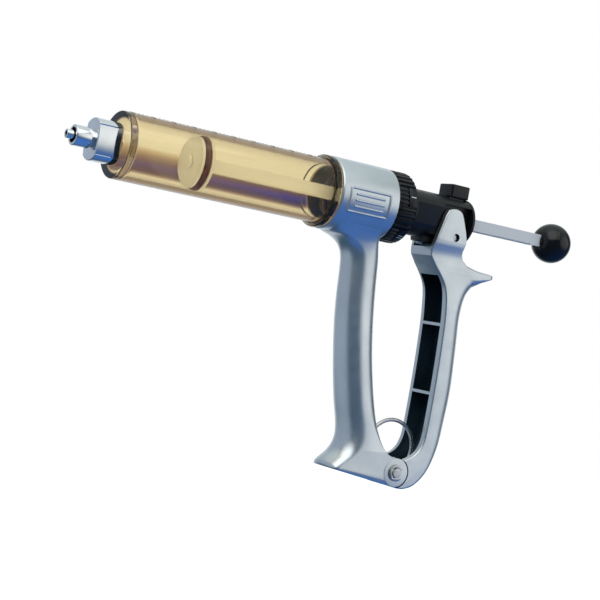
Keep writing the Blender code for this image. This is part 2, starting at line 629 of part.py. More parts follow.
def build_lever(lever):
    upper = smooth_curve(LEVER_FRONT, 2) + smooth_curve(EAR_FRONT, 2) + smooth_curve(EAR_TOP, 2)
    path = millimetres(upper + smooth_curve(HORN, 2) + smooth_curve(LEVER_REAR, 2))
    tongue_r = HINGE_BOSS_R - 0.1 * MM
    boss = arc((HINGE.x, HINGE.z), tongue_r, 285, 60, 18)
    outline = [(x, z) for x, z, _ in path] + boss
    radii = [radius for _, _, radius in path] + [0.5 * MM] * len(boss)
    solid = rounded_plate(outline, radii, HINGE_HALF_WIDTH)
    narrow(solid)
    shell = piece("lever", solid, METAL_CAST, lever)

    far = 2 * HINGE_HALF_WIDTH
    for side in (-1, 1):
        ends = sorted((side * TONGUE_HALF_WIDTH, side * far))
        cut(shell, lever, rod_shape(7.4 * MM, *ends, "Y", HINGE, 32))
    for bay in CHANNEL_BAYS:
        rows = millimetres(bay)
        outline = [(CHANNEL_X, rows[0][1]), *rows, (CHANNEL_X, rows[-1][1])]
        cut(shell, lever, plate(outline, (-CHANNEL_HALF_WIDTH, CHANNEL_HALF_WIDTH)))
    fork = block((CHANNEL_X, 190 * MM), (-EAR_INNER, EAR_INNER), (SADDLE_TOP, 20 * MM))
    pin_hole = rod_shape(LEVER_PIN_R + GAP, -far, far, "Y", LEVER_PIN)
    hinge_hole = rod_shape(HINGE_PIN_R + GAP, -far, far, "Y", HINGE)
    cut(shell, lever, fork, pin_hole, hinge_hole, horn_trim())
    piece("lever_pin", rod_shape(LEVER_PIN_R, *LEVER_PIN_Y, "Y", LEVER_PIN), STEEL, lever)


# --- plunger ----------------------------------------------------------------------------------
def disc(start, end, radius, hole_r, segments=28):
    edge = 0.3 * MM
    profile = [(start, hole_r), (start, radius - edge), (start + edge, radius),
               (end - edge, radius), (end, radius - edge), (end, hole_r)]
    return turned(profile, segments)


def rack_outline():
    """Side outline of the rod, with its teeth along the lower edge."""
    low, high = -ROD_HALF[1], ROD_HALF[1]
    outline = [(ROD_X[0], low), (ROD_X[0], high), (ROD_X[1], high), (ROD_X[1], low)]
    count = int((TEETH_X[1] - TEETH_X[0]) / TOOTH_PITCH)
    for k in range(count, 0, -1):
        root = TEETH_X[0] + k * TOOTH_PITCH
        outline.append((root, low))
        outline.append((root - 0.35 * TOOTH_PITCH, low + TOOTH_DEPTH))
    outline.append((TEETH_X[0], low))
    return outline


def build_plunger(plunger):
    hole_r, shaft_r = 1.7 * MM, 1.4 * MM
    rod = piece("rack_rod", plate(rack_outline(), (-ROD_HALF[0], ROD_HALF[0])), PALE_GREY, plunger)
    cut(rod, plunger, rod_shape(hole_r, ROD_X[0] - 5 * MM, ROD_X[0] + 4 * MM, "X", segments=16))

    start = PISTON_X
    piece("piston_front_disc", disc(start, start + 1.5 * MM, 11.6 * MM, hole_r), PALE_GREY, plunger)
    piece("piston_seal", disc(start + 1.8 * MM, start + 4.5 * MM, 12.2 * MM, hole_r), SEAL_RED,
          plunger)
    piece("piston_rear_disc", disc(start + 4.8 * MM, start + 6.5 * MM, 11.6 * MM, hole_r),
          PALE_GREY, plunger)
    head_x, shaft_end = 35 * MM, 50.5 * MM
    screw = [(head_x, 0), (head_x, 2.6 * MM), (start - GAP, 3 * MM), (start - GAP, shaft_r),
             (shaft_end, shaft_r), (shaft_end, 0)]
    piece("piston_screw", turned(screw, 20), STEEL, plunger)
    nut_x = (start + 6.8 * MM, ROD_X[0] - GAP)
    nut = [(nut_x[0], hole_r), (nut_x[0], 4 * MM), (nut_x[1], 4 * MM), (nut_x[1], hole_r)]
    piece("piston_nut", turned(nut, 6), STEEL, plunger)

    ball = bmesh.new()
    place = Matrix.Translation(BALL_CENTRE) @ Matrix.Rotation(math.pi / 2, 4, "Y")
    bmesh.ops.create_uvsphere(ball, u_segments=24, v_segments=12, radius=BALL_R, matrix=place)
    knob = piece("ball_knob", ball, GLOSS_BLACK, plunger)
    socket_y, socket_z = ROD_HALF[0] + GAP, ROD_HALF[1] + GAP
    cut(knob, plunger, block((BALL_CENTRE.x - 2 * BALL_R, ROD_X[1] + GAP), (-socket_y, socket_y),
                             (-socket_z, socket_z)))


def main():
    clear_scene()
    zero = Vector()
    face = empty("barrel_face", -GRIP_CENTRE)
    root = (face, zero)
    lever = (empty("lever_pivot_axis", HINGE, face), HINGE)
    dial = (empty("dial_turn_axis", zero, face), zero)
    carriage = (empty("carriage_slide_axis", LEVER_PIN, face), LEVER_PIN)
    plunger = (empty("plunger_slide_axis", BALL_CENTRE, face), BALL_CENTRE)
    button_at = Vector((BUTTON_X[0], 0, BUTTON_Z[0]))
    release = (empty("release_press_axis", button_at, carriage[0], LEVER_PIN), button_at)
    build_casting(root)
    build_barrel(root)
    build_nozzle(root)
    build_hinge_hardware(root)
    build_return_spring(root)
    build_detent(root)
    build_dial(dial)
    build_carriage(carriage)
    build_release(release)
    build_lever(lever)
    build_plunger(plunger)


main()
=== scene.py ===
"""Looks for the pistol-grip repeating syringe.

Shapes are written in millimetres in the syringe's own axes: X along the barrel from its front face,
Z up, barrel axis at y = z = 0. `to_mesh_object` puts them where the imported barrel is, in metres.
"""
import json
import math

import bmesh
import bpy
from mathutils import Matrix, Vector


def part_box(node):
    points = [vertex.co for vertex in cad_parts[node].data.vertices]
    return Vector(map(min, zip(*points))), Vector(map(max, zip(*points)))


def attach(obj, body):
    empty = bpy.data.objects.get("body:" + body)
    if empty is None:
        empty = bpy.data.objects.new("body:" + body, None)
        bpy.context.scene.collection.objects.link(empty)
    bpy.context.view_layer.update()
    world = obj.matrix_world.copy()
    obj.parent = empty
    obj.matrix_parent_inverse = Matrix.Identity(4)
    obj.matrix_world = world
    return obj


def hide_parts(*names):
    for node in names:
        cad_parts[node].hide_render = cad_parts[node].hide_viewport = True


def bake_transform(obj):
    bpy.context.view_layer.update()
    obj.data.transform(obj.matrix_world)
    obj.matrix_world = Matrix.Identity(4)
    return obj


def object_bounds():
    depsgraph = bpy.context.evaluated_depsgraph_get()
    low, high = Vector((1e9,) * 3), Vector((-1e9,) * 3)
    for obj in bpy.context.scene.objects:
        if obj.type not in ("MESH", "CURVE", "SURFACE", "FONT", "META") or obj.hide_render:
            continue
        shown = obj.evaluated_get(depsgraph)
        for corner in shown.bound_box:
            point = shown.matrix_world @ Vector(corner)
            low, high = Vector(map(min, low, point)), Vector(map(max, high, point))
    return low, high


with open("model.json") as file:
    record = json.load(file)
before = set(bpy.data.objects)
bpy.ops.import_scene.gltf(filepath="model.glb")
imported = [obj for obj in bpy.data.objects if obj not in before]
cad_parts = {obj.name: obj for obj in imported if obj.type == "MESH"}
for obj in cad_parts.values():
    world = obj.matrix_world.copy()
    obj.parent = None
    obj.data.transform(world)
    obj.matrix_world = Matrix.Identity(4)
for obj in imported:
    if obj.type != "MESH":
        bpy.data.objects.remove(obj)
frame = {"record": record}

CAD_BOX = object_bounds()
MM = 0.001


def origin_of_syringe():
    """The barrel's axis at its front face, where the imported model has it."""
    low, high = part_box("barrel")
    return Vector((low[0], (low[1] + high[1]) / 2, (low[2] + high[2]) / 2))


ORIGIN = origin_of_syringe()


def measured(node):
    """A CAD node's box as ((x0, x1), (y0, y1), (z0, z1)), in millimetres in the syringe's axes."""
    low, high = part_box(node)
    return [tuple((bound[k] - ORIGIN[k]) / MM for bound in (low, high)) for k in range(3)]


def radius_of(node):
    span = measured(node)[2]
    return (span[1] - span[0]) / 2


def centre_of(node):
    return Vector([sum(span) / 2 for span in measured(node)])


def joint_place(name):
    joint = next(j for j in frame["record"]["behaviour"]["joints"] if j["name"] == name)
    return (Vector(joint["pos_m"]) - ORIGIN) / MM


# --- dimensions, from the imported model and listed where its boxes don't tell ---
BARREL = measured("barrel")
BARREL_R = 15.0
BORE_R = 12.5
FLANGE = (104.25, 107.5)
FLANGE_R = radius_of("barrel")
COLLAR_R = measured("frame_casting")[2][1]
COLLAR = (measured("frame_casting")[0][0], 139.75)
DIAL = measured("dose_dial")
DIAL_R = 17.0
DIAL_FRONT = COLLAR[1] + 0.3
RING_GROOVE = (136.6, 137.8)  # x of the snap ring's groove, in the collar and the dial
SLEEVE_R = radius_of("carriage_cap")
SLEEVE = measured("carriage_housing")[0]
ROD_SLOT = ((-3.2, 3.2), (-3.3, 3.3))  # y and z of the rod's opening through the carriage
HINGE = joint_place("lever_pivot")
HINGE_HOLE_R = 2.6
EAR_R = 7.0  # the casting's two hinge ears
TONGUE_HALF = 5.0  # half width of the lever's tongue between the ears
HALF_WIDTH = measured("lever")[1][1]
PIN = centre_of("lever_pin")
PIN_R = radius_of("lever_pin")
BUTTON_TOP = measured("release_button")[2][1]
ROD = measured("rack_rod")
BALL_REAR = measured("ball_knob")[0][1]
BALL_R = 9.93


# --- materials ---
class Nodes:
    """A material's node tree, with short calls to add and join nodes."""

    def __init__(self, name):
        self.material = bpy.data.materials.new(name)
        self.material.use_nodes = True
        self.tree = self.material.node_tree
        self.shader = self.tree.nodes["Principled BSDF"]

    def add(self, kind, **settings):
        node = self.tree.nodes.new("ShaderNode" + kind)
        for key, value in settings.items():
            if key in node.inputs:
                node.inputs[key].default_value = value
            else:
                setattr(node, key, value)
        return node

    def join(self, out, into):
        self.tree.links.new(out, into)

    def set(self, **values):
        for key, value in values.items():
            self.shader.inputs[key.replace("_", " ")].default_value = value

    def noise(self, scale, detail=3.0, stretch=(1, 1, 1)):
        place = self.add("TexCoord")
        shape = self.add("Mapping", Scale=stretch)
        pattern = self.add("TexNoise", Scale=scale, Detail=detail)
        self.join(place.outputs["Object"], shape.inputs["Vector"])
        self.join(shape.outputs["Vector"], pattern.inputs["Vector"])
        return pattern.outputs["Fac"]

    def spread(self, value, low, high, start=0.3, end=0.7):
        """Maps a noise value to a range of numbers."""
        node = self.add("MapRange")
        for key, number in (("From Min", start), ("From Max", end), ("To Min", low), ("To Max", high)):
            node.inputs[key].default_value = number
        self.join(value, node.inputs["Value"])
        return node.outputs["Result"]

    def ramp(self, value, stops):
        node = self.add("ValToRGB")
        while len(node.color_ramp.elements) < len(stops):
            node.color_ramp.elements.new(0.5)
        for element, (place, colour) in zip(node.color_ramp.elements, stops):
            element.position = place
            element.color = (*colour, 1)
        self.join(value, node.inputs["Fac"])
        return node.outputs["Color"]

    def colour(self, value, dark, light, start=0.3, end=0.7):
        """Colours the surface in two tones, mixed by a noise value."""
        self.join(self.ramp(value, [(start, dark), (end, light)]), self.shader.inputs["Base Color"])

    def gloss(self, value, low, high):
        """Varies the roughness with a noise value."""
        self.join(self.spread(value, low, high), self.shader.inputs["Roughness"])

    def bump(self, value, strength, distance):
        node = self.add("Bump", Strength=strength, Distance=distance)
        self.join(value, node.inputs["Height"])
        self.join(node.outputs["Normal"], self.shader.inputs["Normal"])


def mix_node(tree, share, first, second):
    """Mixes two colours; each is a socket or a plain colour."""
    node = tree.nodes.new("ShaderNodeMix")
    node.data_type = "RGBA"
    tree.links.new(share, node.inputs[0])
    for socket, colour in ((node.inputs[6], first), (node.inputs[7], second)):
        if isinstance(colour, tuple):
            socket.default_value = (*colour, 1)
        else:
            tree.links.new(colour, socket)
    return node.outputs[2]


PAINTED_SHADE_REACH = 0.02  # metres; how far a nearby surface reaches to paint shade on the metal
# colour of the painted shade in hollows and between nearby surfaces
PAINTED_SHADE_TONE = (0.07, 0.12, 0.15)


def cast_metal():
    """Silver-lacquered aluminium casting: soft gloss, faint cast unevenness, painted shade darkening
    its hollows.
    """
    n = Nodes("silver_casting")
    n.set(Metallic=0.9, IOR=1.5, Coat_Weight=0.25, Coat_Roughness=0.25)
    tone = n.ramp(n.noise(45, 4), [(0.3, (0.60, 0.64, 0.67)), (0.7, (0.68, 0.72, 0.745))])
    # painted shade: ambient occlusion darkens the base colour towards the dark tone wherever other
    # surfaces are near
    painted_shade_ao = n.add("AmbientOcclusion", only_local=True, Distance=PAINTED_SHADE_REACH)
    unshaded_share = n.spread(painted_shade_ao.outputs["AO"], 0, 1, 0.5, 0.85)
    n.join(mix_node(n.tree, unshaded_share, PAINTED_SHADE_TONE, tone), n.shader.inputs["Base Color"])
    n.gloss(n.noise(160, 5), 0.27, 0.36)
    n.bump(n.noise(900, 3), 0.12, 0.00012)
    return n.material


def chrome():
    n = Nodes("chrome_plate")
    n.set(Metallic=1.0)
    n.colour(n.noise(120, 3), (0.80, 0.81, 0.83), (0.88, 0.89, 0.90))
    n.gloss(n.noise(300, 4), 0.05, 0.12)
    return n.material


def steel():
    n = Nodes("spring_steel")
    n.set(Metallic=1.0)
    n.colour(n.noise(200, 4), (0.42, 0.42, 0.43), (0.60, 0.60, 0.61))
    n.gloss(n.noise(600, 3, (0.2, 1, 1)), 0.22, 0.36)
    return n.material


def amber_plastic(name="amber_barrel_plastic", colour=(0.945, 0.86, 0.63), roughness=(0.015, 0.035)):
    """Clear amber moulded plastic; light takes on the tint at each surface that it passes."""
    n = Nodes(name)
    n.set(Transmission_Weight=1.0, IOR=1.45)
    deep = tuple(c * 0.93 for c in colour)
    streaks = n.noise(150, 2, (0.03, 1, 1))
    n.colour(streaks, deep, colour, 0.35, 0.65)
    n.gloss(n.noise(90, 2), *roughness)
    return n.material


def black_plastic(name="satin_black", roughness=(0.30, 0.42)):
    n = Nodes(name)
    n.set(IOR=1.5, Specular_IOR_Level=0.35)
    n.colour(n.noise(60, 4), (0.006, 0.006, 0.006), (0.009, 0.009, 0.0096))
    n.gloss(n.noise(220, 4), *roughness)
    n.bump(n.noise(1800, 2), 0.15, 0.00008)
    return n.material


def seal_rubber():
    n = Nodes("seal_rubber")
    n.set(IOR=1.5)
    n.colour(n.noise(150, 4), (0.085, 0.022, 0.014), (0.13, 0.036, 0.022))
    n.gloss(n.noise(400, 3), 0.32, 0.5)
    return n.material


def pale_plastic():
    """Light grey moulded plastic of the rod and piston, with faint moulding streaks."""
    n = Nodes("pale_grey_plastic")
    n.set(IOR=1.46)
    n.colour(n.noise(70, 3, (0.15, 1, 1)), (0.80, 0.80, 0.79), (0.88, 0.88, 0.87))
    n.gloss(n.noise(300, 3), 0.28, 0.4)
    return n.material


def white_ink():
    n = Nodes("white_marking")
    n.colour(n.noise(500, 3), (0.78, 0.78, 0.76), (0.9, 0.9, 0.88))
    n.set(Roughness=0.45)
    return n.material


def floor_paint():
    n = Nodes("studio_floor")
    n.colour(n.noise(3, 2), (0.90, 0.90, 0.90), (0.92, 0.92, 0.92))
    n.set(Roughness=0.8, Specular_IOR_Level=0.1, Emission_Color=(1, 1, 1, 1), Emission_Strength=0.5)
    return n.material


MATERIALS = {
    "cast_metal": cast_metal(),
    "chrome": chrome(),
    "steel": steel(),
    "amber_barrel": amber_plastic(),
    "black_plastic": black_plastic(),
    "black_knob": black_plastic("gloss_black", (0.06, 0.12)),
    "seal_rubber": seal_rubber(),
    "pale_plastic": pale_plastic(),
}
INK = white_ink()


# --- mesh helpers, in millimetres in the syringe's axes ---
def to_mesh_object(name, bm):
    """An object made from a shape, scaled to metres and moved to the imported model's place."""
    bmesh.ops.recalc_face_normals(bm, faces=bm.faces[:])
    bmesh.ops.scale(bm, vec=(MM, MM, MM), verts=bm.verts[:])
    bmesh.ops.translate(bm, vec=ORIGIN, verts=bm.verts[:])
    mesh = bpy.data.meshes.new(name)
    bm.to_mesh(mesh)
    bm.free()
    obj = bpy.data.objects.new(name, mesh)
    bpy.context.collection.objects.link(obj)
    return obj


def apply_modifiers(obj):
    graph = bpy.context.evaluated_depsgraph_get()
    mesh = bpy.data.meshes.new_from_object(obj.evaluated_get(graph), depsgraph=graph)
    obj.modifiers.clear()
    obj.data = mesh


def boolean(obj, operation, *shapes):
    """Adds or cuts each shape in turn."""
    for bm in shapes:
        tool = to_mesh_object("tool", bm)
        step = obj.modifiers.new(operation, "BOOLEAN")
        step.operation = operation
        step.object = tool
        apply_modifiers(obj)
        bpy.data.objects.remove(tool, do_unlink=True)


def soften(obj, width, segments=2, angle=40):
    step = obj.modifiers.new("soft_edges", "BEVEL")
    step.width = width * MM
    step.segments = segments
    step.limit_method = "ANGLE"
    step.angle_limit = math.radians(angle)
    apply_modifiers(obj)


def finish_piece(obj, slot, body, nodes=(), sharp=32, paint=None):
    """Shades and paints a piece; body is one name to attach it to, or two names and two points, where
    the piece is only fixed in place and is neither attached nor bent.
    """
    obj.data.shade_smooth()
    obj.data.set_sharp_from_angle(angle=math.radians(sharp))
    obj.data.materials.clear()
    obj.data.materials.append(paint or MATERIALS[slot])
    if isinstance(body, tuple):
        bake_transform(obj)
    else:
        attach(obj, body)
    if nodes:
        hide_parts(*nodes)


def piece(name, bm, slot, body, nodes=(), sharp=32, paint=None):
    finish_piece(to_mesh_object(name, bm), slot, body, nodes, sharp, paint)


def smooth_curve(points, steps):
    """Catmull-Rom curve through the points, `steps` pieces between two of them."""
    padded = [points[0], *points, points[-1]]
    curve = []
    for before, start, end, after in zip(padded, padded[1:], padded[2:], padded[3:]):
        for k in range(steps):
            t = k / steps
            curve.append(tuple(
                0.5 * (2 * b + (c - a) * t + (2 * a - 5 * b + 4 * c - d) * t * t
                       + (3 * b - a - 3 * c + d) * t ** 3)
                for a, b, c, d in zip(before, start, end, after)))
    curve.append(tuple(points[-1]))
    return curve


def arc(centre, radius, start, end, count):
    """Points on an arc, angles in degrees from the first axis towards the second."""
    angles = (math.radians(start + (end - start) * k / count) for k in range(count + 1))
    return [(centre[0] + radius * math.cos(a), centre[1] + radius * math.sin(a)) for a in angles]


def loft(rings):
    """Skin over rings of equal length, capped at both ends."""
    bm = bmesh.new()
    rows = [[bm.verts.new(p) for p in ring] for ring in rings]
    for row, following in zip(rows, rows[1:]):
        for k in range(len(row)):
            after = (k + 1) % len(row)
            bm.faces.new((row[k], row[after], following[after], following[k]))
    bm.faces.new(rows[0])
    bm.faces.new(rows[-1])
    return bm


def turned(profile, segments=128, axis="X", centre=(0, 0, 0), ripple=None):
    """A shape turned about an axis from a closed outline of (along, radius) points."""
    turn = {"X": Matrix.Identity(3), "Y": Matrix.Rotation(math.pi / 2, 3, "Z"),
            "Z": Matrix.Rotation(-math.pi / 2, 3, "Y")}[axis]
    bm = bmesh.new()
    rings = []
    for s in range(segments):
        angle = 2 * math.pi * s / segments
        ring = []
        for along, radius in profile:
            r = radius + (ripple(along, radius, angle) if ripple else 0)
            local = Vector((along, r * math.cos(angle), r * math.sin(angle)))
            ring.append(bm.verts.new(turn @ local + Vector(centre)))
        rings.append(ring)
    for s, ring in enumerate(rings):
        following = rings[(s + 1) % segments]
        for k in range(len(profile)):
            after = (k + 1) % len(profile)
            if profile[k][1] == 0 and profile[after][1] == 0:
                continue
            bm.faces.new((ring[k], ring[after], following[after], following[k]))
    bmesh.ops.remove_doubles(bm, verts=bm.verts[:], dist=1e-5)
    bmesh.ops.dissolve_degenerate(bm, edges=bm.edges[:], dist=1e-5)
    return bm


def rounded(profile, radii, steps=4):
    """The closed outline with its corners rounded, each by its own radius (0 keeps the corner)."""
    outline = []
    count = len(profile)
    for k, radius in enumerate(radii):
        corner = Vector(profile[k])
        if radius <= 0:
            outline.append(tuple(corner))
            continue
        before = Vector(profile[k - 1]) - corner
        after = Vector(profile[(k + 1) % count]) - corner
        reach = min(radius, 0.49 * before.length, 0.49 * after.length)
        first = corner + before.normalized() * reach
        last = corner + after.normalized() * reach
        for step in range(steps + 1):
            t = step / steps
            outline.append(tuple((1 - t) ** 2 * first + 2 * t * (1 - t) * corner + t * t * last))
    return outline


def washer(x, inner, outer, radii, steps=4, segments=134):
    """A ring between two places along the barrel, or a disc where the inner radius is 0."""
    outline = [(x[0], inner), (x[0], outer), (x[1], outer), (x[1], inner)]
    return turned(rounded(outline, radii, steps), segments)


def cylinder(radius, start, end, axis="Y", centre=(0, 0, 0), segments=64, edge=0.0):
    outline = [(start, 0), (start, radius), (end, radius), (end, 0)]
    if edge:
        outline = rounded(outline, [0, edge, edge, 0])
    return turned(outline, segments, axis, centre)


def block(x, y, z):
    corners = [(x[0], y[0]), (x[1], y[0]), (x[1], y[1]), (x[0], y[1])]
    return loft([[(a, b, height) for a, b in corners] for height in z])


def plate(outline, y):
    return loft([[(x, side, z) for x, z in outline] for side in y])


def rounded_plate(outline, radii, half_width, rings=7):
    """An XZ outline extruded along Y, with an edge radius of its own at each outline point."""
    count = len(outline)
    area = sum(a[0] * b[1] - b[0] * a[1] for a, b in zip(outline, outline[1:] + outline[:1]))
    turn = 1 if area > 0 else -1
    inward = []
    for k in range(count):
        along = (Vector(outline[(k + 1) % count]) - Vector(outline[k - 1])).normalized()
        inward.append(Vector((-along.y, along.x)) * turn)
    half = []
    for step in range(rings + 1):
        angle = math.pi / 2 * step / rings
        ring = []
        for point, normal, radius in zip(outline, inward, radii):
            at = Vector(point) + normal * radius * (1 - math.cos(angle))
            ring.append((at.x, half_width - radius * (1 - math.sin(angle)), at.y))
        half.append(ring)
    mirrored = [[(x, -y, z) for x, y, z in ring] for ring in reversed(half)]
    return loft(mirrored + half)


DOME = [(0.28, 0.72), (0.1, 0.93), (0, 1)]      # a wire's end: how far out, and share of radius


def tube(points, radius, sides=20):
    """A round wire through the points, with domed ends."""
    points = [Vector(p) for p in points]
    normal = (points[1] - points[0]).orthogonal().normalized()
    rings = []
    last = len(points) - 1
    for k, point in enumerate(points):
        along = (points[min(k + 1, last)] - points[max(k - 1, 0)]).normalized()
        normal = (normal - along * normal.dot(along)).normalized()
        across = along.cross(normal)
        spots = [(0, 1)]
        if k == 0:
            spots = [(-off, share) for off, share in DOME]
        elif k == last:
            spots = DOME[::-1]
        for off, share in spots:
            rings.append([point + along * (off * radius) + share * radius
                          * (normal * math.cos(a) + across * math.sin(a))
                          for a in (2 * math.pi * s / sides for s in range(sides))])
    return loft(rings)


def coil(start, axis, length, radius, wire_r, turns, per_turn=24):
    """A round wire wound about the X or Z axis."""
    points = []
    for k in range(turns * per_turn + 1):
        angle = 2 * math.pi * k / per_turn
        along = length * k / (turns * per_turn)
        around = (radius * math.cos(angle), radius * math.sin(angle))
        local = (along, *around) if axis == "X" else (*around, along)
        points.append(Vector(start) + Vector(local))
    return tube(points, wire_r, 10)


def merge(shapes):
    """Several separate shapes in one mesh."""
    whole = bmesh.new()
    for bm in shapes:
        mesh = bpy.data.meshes.new("part")
        bm.to_mesh(mesh)
        bm.free()
        whole.from_mesh(mesh)
        bpy.data.meshes.remove(mesh)
    return whole


# --- camera, light, world and floor ---
def set_camera():
    """The photograph's viewing angle: from the left front, a little below, rolled clockwise."""
    right = Vector((0.83707, -0.51836, 0.17496))
    up = Vector((-0.15709, 0.07860, 0.98445))
    back = right.cross(up)
    target = Vector((105.70, 0, -51.29))
    distance = 812.4
    data = bpy.data.cameras.new("camera")
    data.lens = 105.53
    data.sensor_width = 36
    camera = bpy.data.objects.new("camera", data)
    turn = Matrix((right, up, back)).transposed().to_4x4()
    camera.matrix_world = Matrix.Translation(ORIGIN + (target + back * distance) * MM) @ turn
    bpy.context.collection.objects.link(camera)
    bpy.context.scene.camera = camera


def set_key_light():
    """A large soft light at the upper left front."""
    data = bpy.data.lights.new("key", "AREA")
    data.shape = "RECTANGLE"
    data.size = 1.8
    data.size_y = 1.5
    data.energy = 6.0
    data.color = (1.0, 0.995, 0.98)
    light = bpy.data.objects.new("key", data)
    place = Vector((-0.3, -0.9, 1.2))
    target = Vector((-0.02, 0, 0))
    light.location = place
    light.rotation_euler = (target - place).to_track_quat("-Z", "Y").to_euler()
    light.visible_camera = False
    bpy.context.collection.objects.link(light)


FLOOR_DROP = 0.30  # metres from the part's lowest point to the floor
FLOOR_R = 6  # metres

# Soft boxes round the part: direction, colour, and the angles (degrees) where each starts to
# fade and is gone.
SOFT_BOXES = [
    ((0.73, -0.64, 0.22), (1.02, 1.05, 1.04), 16, 40),      # large box, right front
    ((-0.10, 0.10, 1.00), (0.66, 0.74, 0.74), 30, 75),      # overhead
    ((-0.50, -0.50, 0.70), (1.25, 1.28, 1.25), 12, 36),     # small box, up left
    ((-0.55, 0.82, 0.12), (0.38, 0.45, 0.54), 12, 44),      # behind left
    ((-0.97, 0.26, 0.05), (0.38, 0.45, 0.54), 35, 52),      # left
    ((-0.26, -0.09, 0.96), (1.20, 1.24, 1.22), 6, 28),      # above left
    ((0.52, 0.85, 0.00), (0.80, 0.86, 0.90), 22, 50),       # backdrop
    ((0.45, -0.35, -0.82), (0.06, 0.18, 0.52), 14, 60),     # blue card below
]
AMBIENT = (0.06, 0.105, 0.16)
BACKDROP = (1.0, 1.0, 1.0)
BACKDROP_AXIS = (0.52, 0.85, 0.0)
BACKDROP_FADE = (34, 56)  # degrees from that axis where it starts to fade and is gone
BEYOND_BACKDROP = (0.78, 0.70, 0.56)  # what the clear barrel bends into view from the sides
MIRRORED = (0.36, 0.28, 0.21)  # what its inner faces mirror into view
INSIDE_LIGHT = (1.5, 1.5, 1.5)  # what lights the pieces inside the barrel


def towards_share(tree, direction, towards):
    """Cosine of the angle between the ray and a direction."""
    node = tree.nodes.new("ShaderNodeVectorMath")
    node.operation = "DOT_PRODUCT"
    node.inputs[1].default_value = Vector(towards).normalized()
    tree.links.new(direction, node.inputs[0])
    return node.outputs["Value"]


def fade_node(tree, cosine, inner, outer):
    """1 inside the inner angle (degrees), 0 outside the outer one."""
    node = tree.nodes.new("ShaderNodeMapRange")
    node.interpolation_type = "SMOOTHSTEP"
    node.inputs["From Min"].default_value = math.cos(math.radians(outer))
    node.inputs["From Max"].default_value = math.cos(math.radians(inner))
    tree.links.new(cosine, node.inputs["Value"])
    return node.outputs["Result"]


def set_world():
    """White for what is seen directly or through the barrel, soft boxes for what lights the part."""
    world = bpy.data.worlds.new("white_studio")
    bpy.context.scene.world = world
    world.use_nodes = True
    tree = world.node_tree
    nodes, links = tree.nodes, tree.links
    direction = nodes.new("ShaderNodeTexCoord").outputs["Generated"]
    total = AMBIENT
    for towards, colour, inner, outer in SOFT_BOXES:
        share = fade_node(tree, towards_share(tree, direction, towards), inner, outer)
        total = mix_node(tree, share, total, colour)
    facing = nodes.new("ShaderNodeMath")
    facing.operation = "ABSOLUTE"
    links.new(towards_share(tree, direction, BACKDROP_AXIS), facing.inputs[0])
    behind = fade_node(tree, facing.outputs[0], *BACKDROP_FADE)
    through = mix_node(tree, behind, BEYOND_BACKDROP, BACKDROP)
    path = nodes.new("ShaderNodeLightPath")
    through = mix_node(tree, path.outputs["Glossy Depth"], through, MIRRORED)
    inside = mix_node(tree, path.outputs["Diffuse Depth"], through, INSIDE_LIGHT)
    total = mix_node(tree, path.outputs["Is Transmission Ray"], total, inside)
    total = mix_node(tree, path.outputs["Is Camera Ray"], total, BACKDROP)
    background = nodes["Background"]
    links.new(total, background.inputs["Color"])
    background.inputs["Strength"].default_value = 1.0


def set_floor():
    bm = bmesh.new()
    bmesh.ops.create_circle(bm, cap_ends=True, segments=64, radius=FLOOR_R)
    mesh = bpy.data.meshes.new("studio_floor")
    bm.to_mesh(mesh)
    bm.free()
    floor = bpy.data.objects.new("studio_floor", mesh)
    floor.location = (0, 0, CAD_BOX[0][2] - FLOOR_DROP)
    floor.data.materials.append(floor_paint())
    floor.visible_glossy = False
    floor.visible_transmission = False
    floor.visible_diffuse = False
    bpy.context.collection.objects.link(floor)


# Tones of a soft shadow behind the barrel, seen only through it: height share from low to high.
SHADE_REAR = [(0.0, (1.0, 1.0, 1.0)), (0.10, (0.55, 0.48, 0.52)), (0.21, (0.18, 0.14, 0.22)),
              (0.37, (0.02, 0.04, 0.42)), (0.52, (0.03, 0.06, 0.70)), (0.65, (0.12, 0.08, 0.16)),
              (0.73, (0.50, 0.44, 0.44)), (0.81, (1.0, 1.0, 1.0)), (1.0, (1.0, 1.0, 1.0))]
SHADE_FRONT = [(0.0, (1.0, 1.0, 1.0)), (0.10, (0.60, 0.52, 0.52)), (0.25, (0.20, 0.14, 0.16)),
               (0.42, (0.17, 0.12, 0.20)), (0.52, (0.20, 0.14, 0.34)), (0.65, (0.26, 0.18, 0.24)),
               (0.80, (0.46, 0.36, 0.32)), (0.92, (0.78, 0.68, 0.60)), (1.0, (1.0, 1.0, 1.0))]
SHADE_X = (12, 185)
SHADE_Y = (60, 60.5)
SHADE_Z = (-20, 9)


def set_shade_card():
    """A card behind the barrel, seen only through it, whose tones change from front to rear."""
    n = Nodes("shade_card_tones")
    place = n.add("TexCoord")
    split = n.add("SeparateXYZ")
    n.join(place.outputs["Generated"], split.inputs[0])
    rearward = n.spread(split.outputs["X"], 0, 1, 0.3, 0.9)
    tones = mix_node(n.tree, rearward, n.ramp(split.outputs["Z"], SHADE_FRONT),
                     n.ramp(split.outputs["Z"], SHADE_REAR))
    n.join(tones, n.shader.inputs["Emission Color"])
    n.set(Base_Color=(0, 0, 0, 1), Emission_Strength=1.0, Roughness=1.0, Specular_IOR_Level=0.0)
    card = to_mesh_object("shade_card", block(SHADE_X, SHADE_Y, SHADE_Z))
    card.data.materials.append(n.material)
    for kind in ("camera", "glossy", "diffuse", "shadow", "volume_scatter"):
        setattr(card, "visible_" + kind, False)


def set_studio():
    set_key_light()
    set_world()
    set_floor()
    set_shade_card()
    bpy.context.scene.view_settings.view_transform = "Standard"


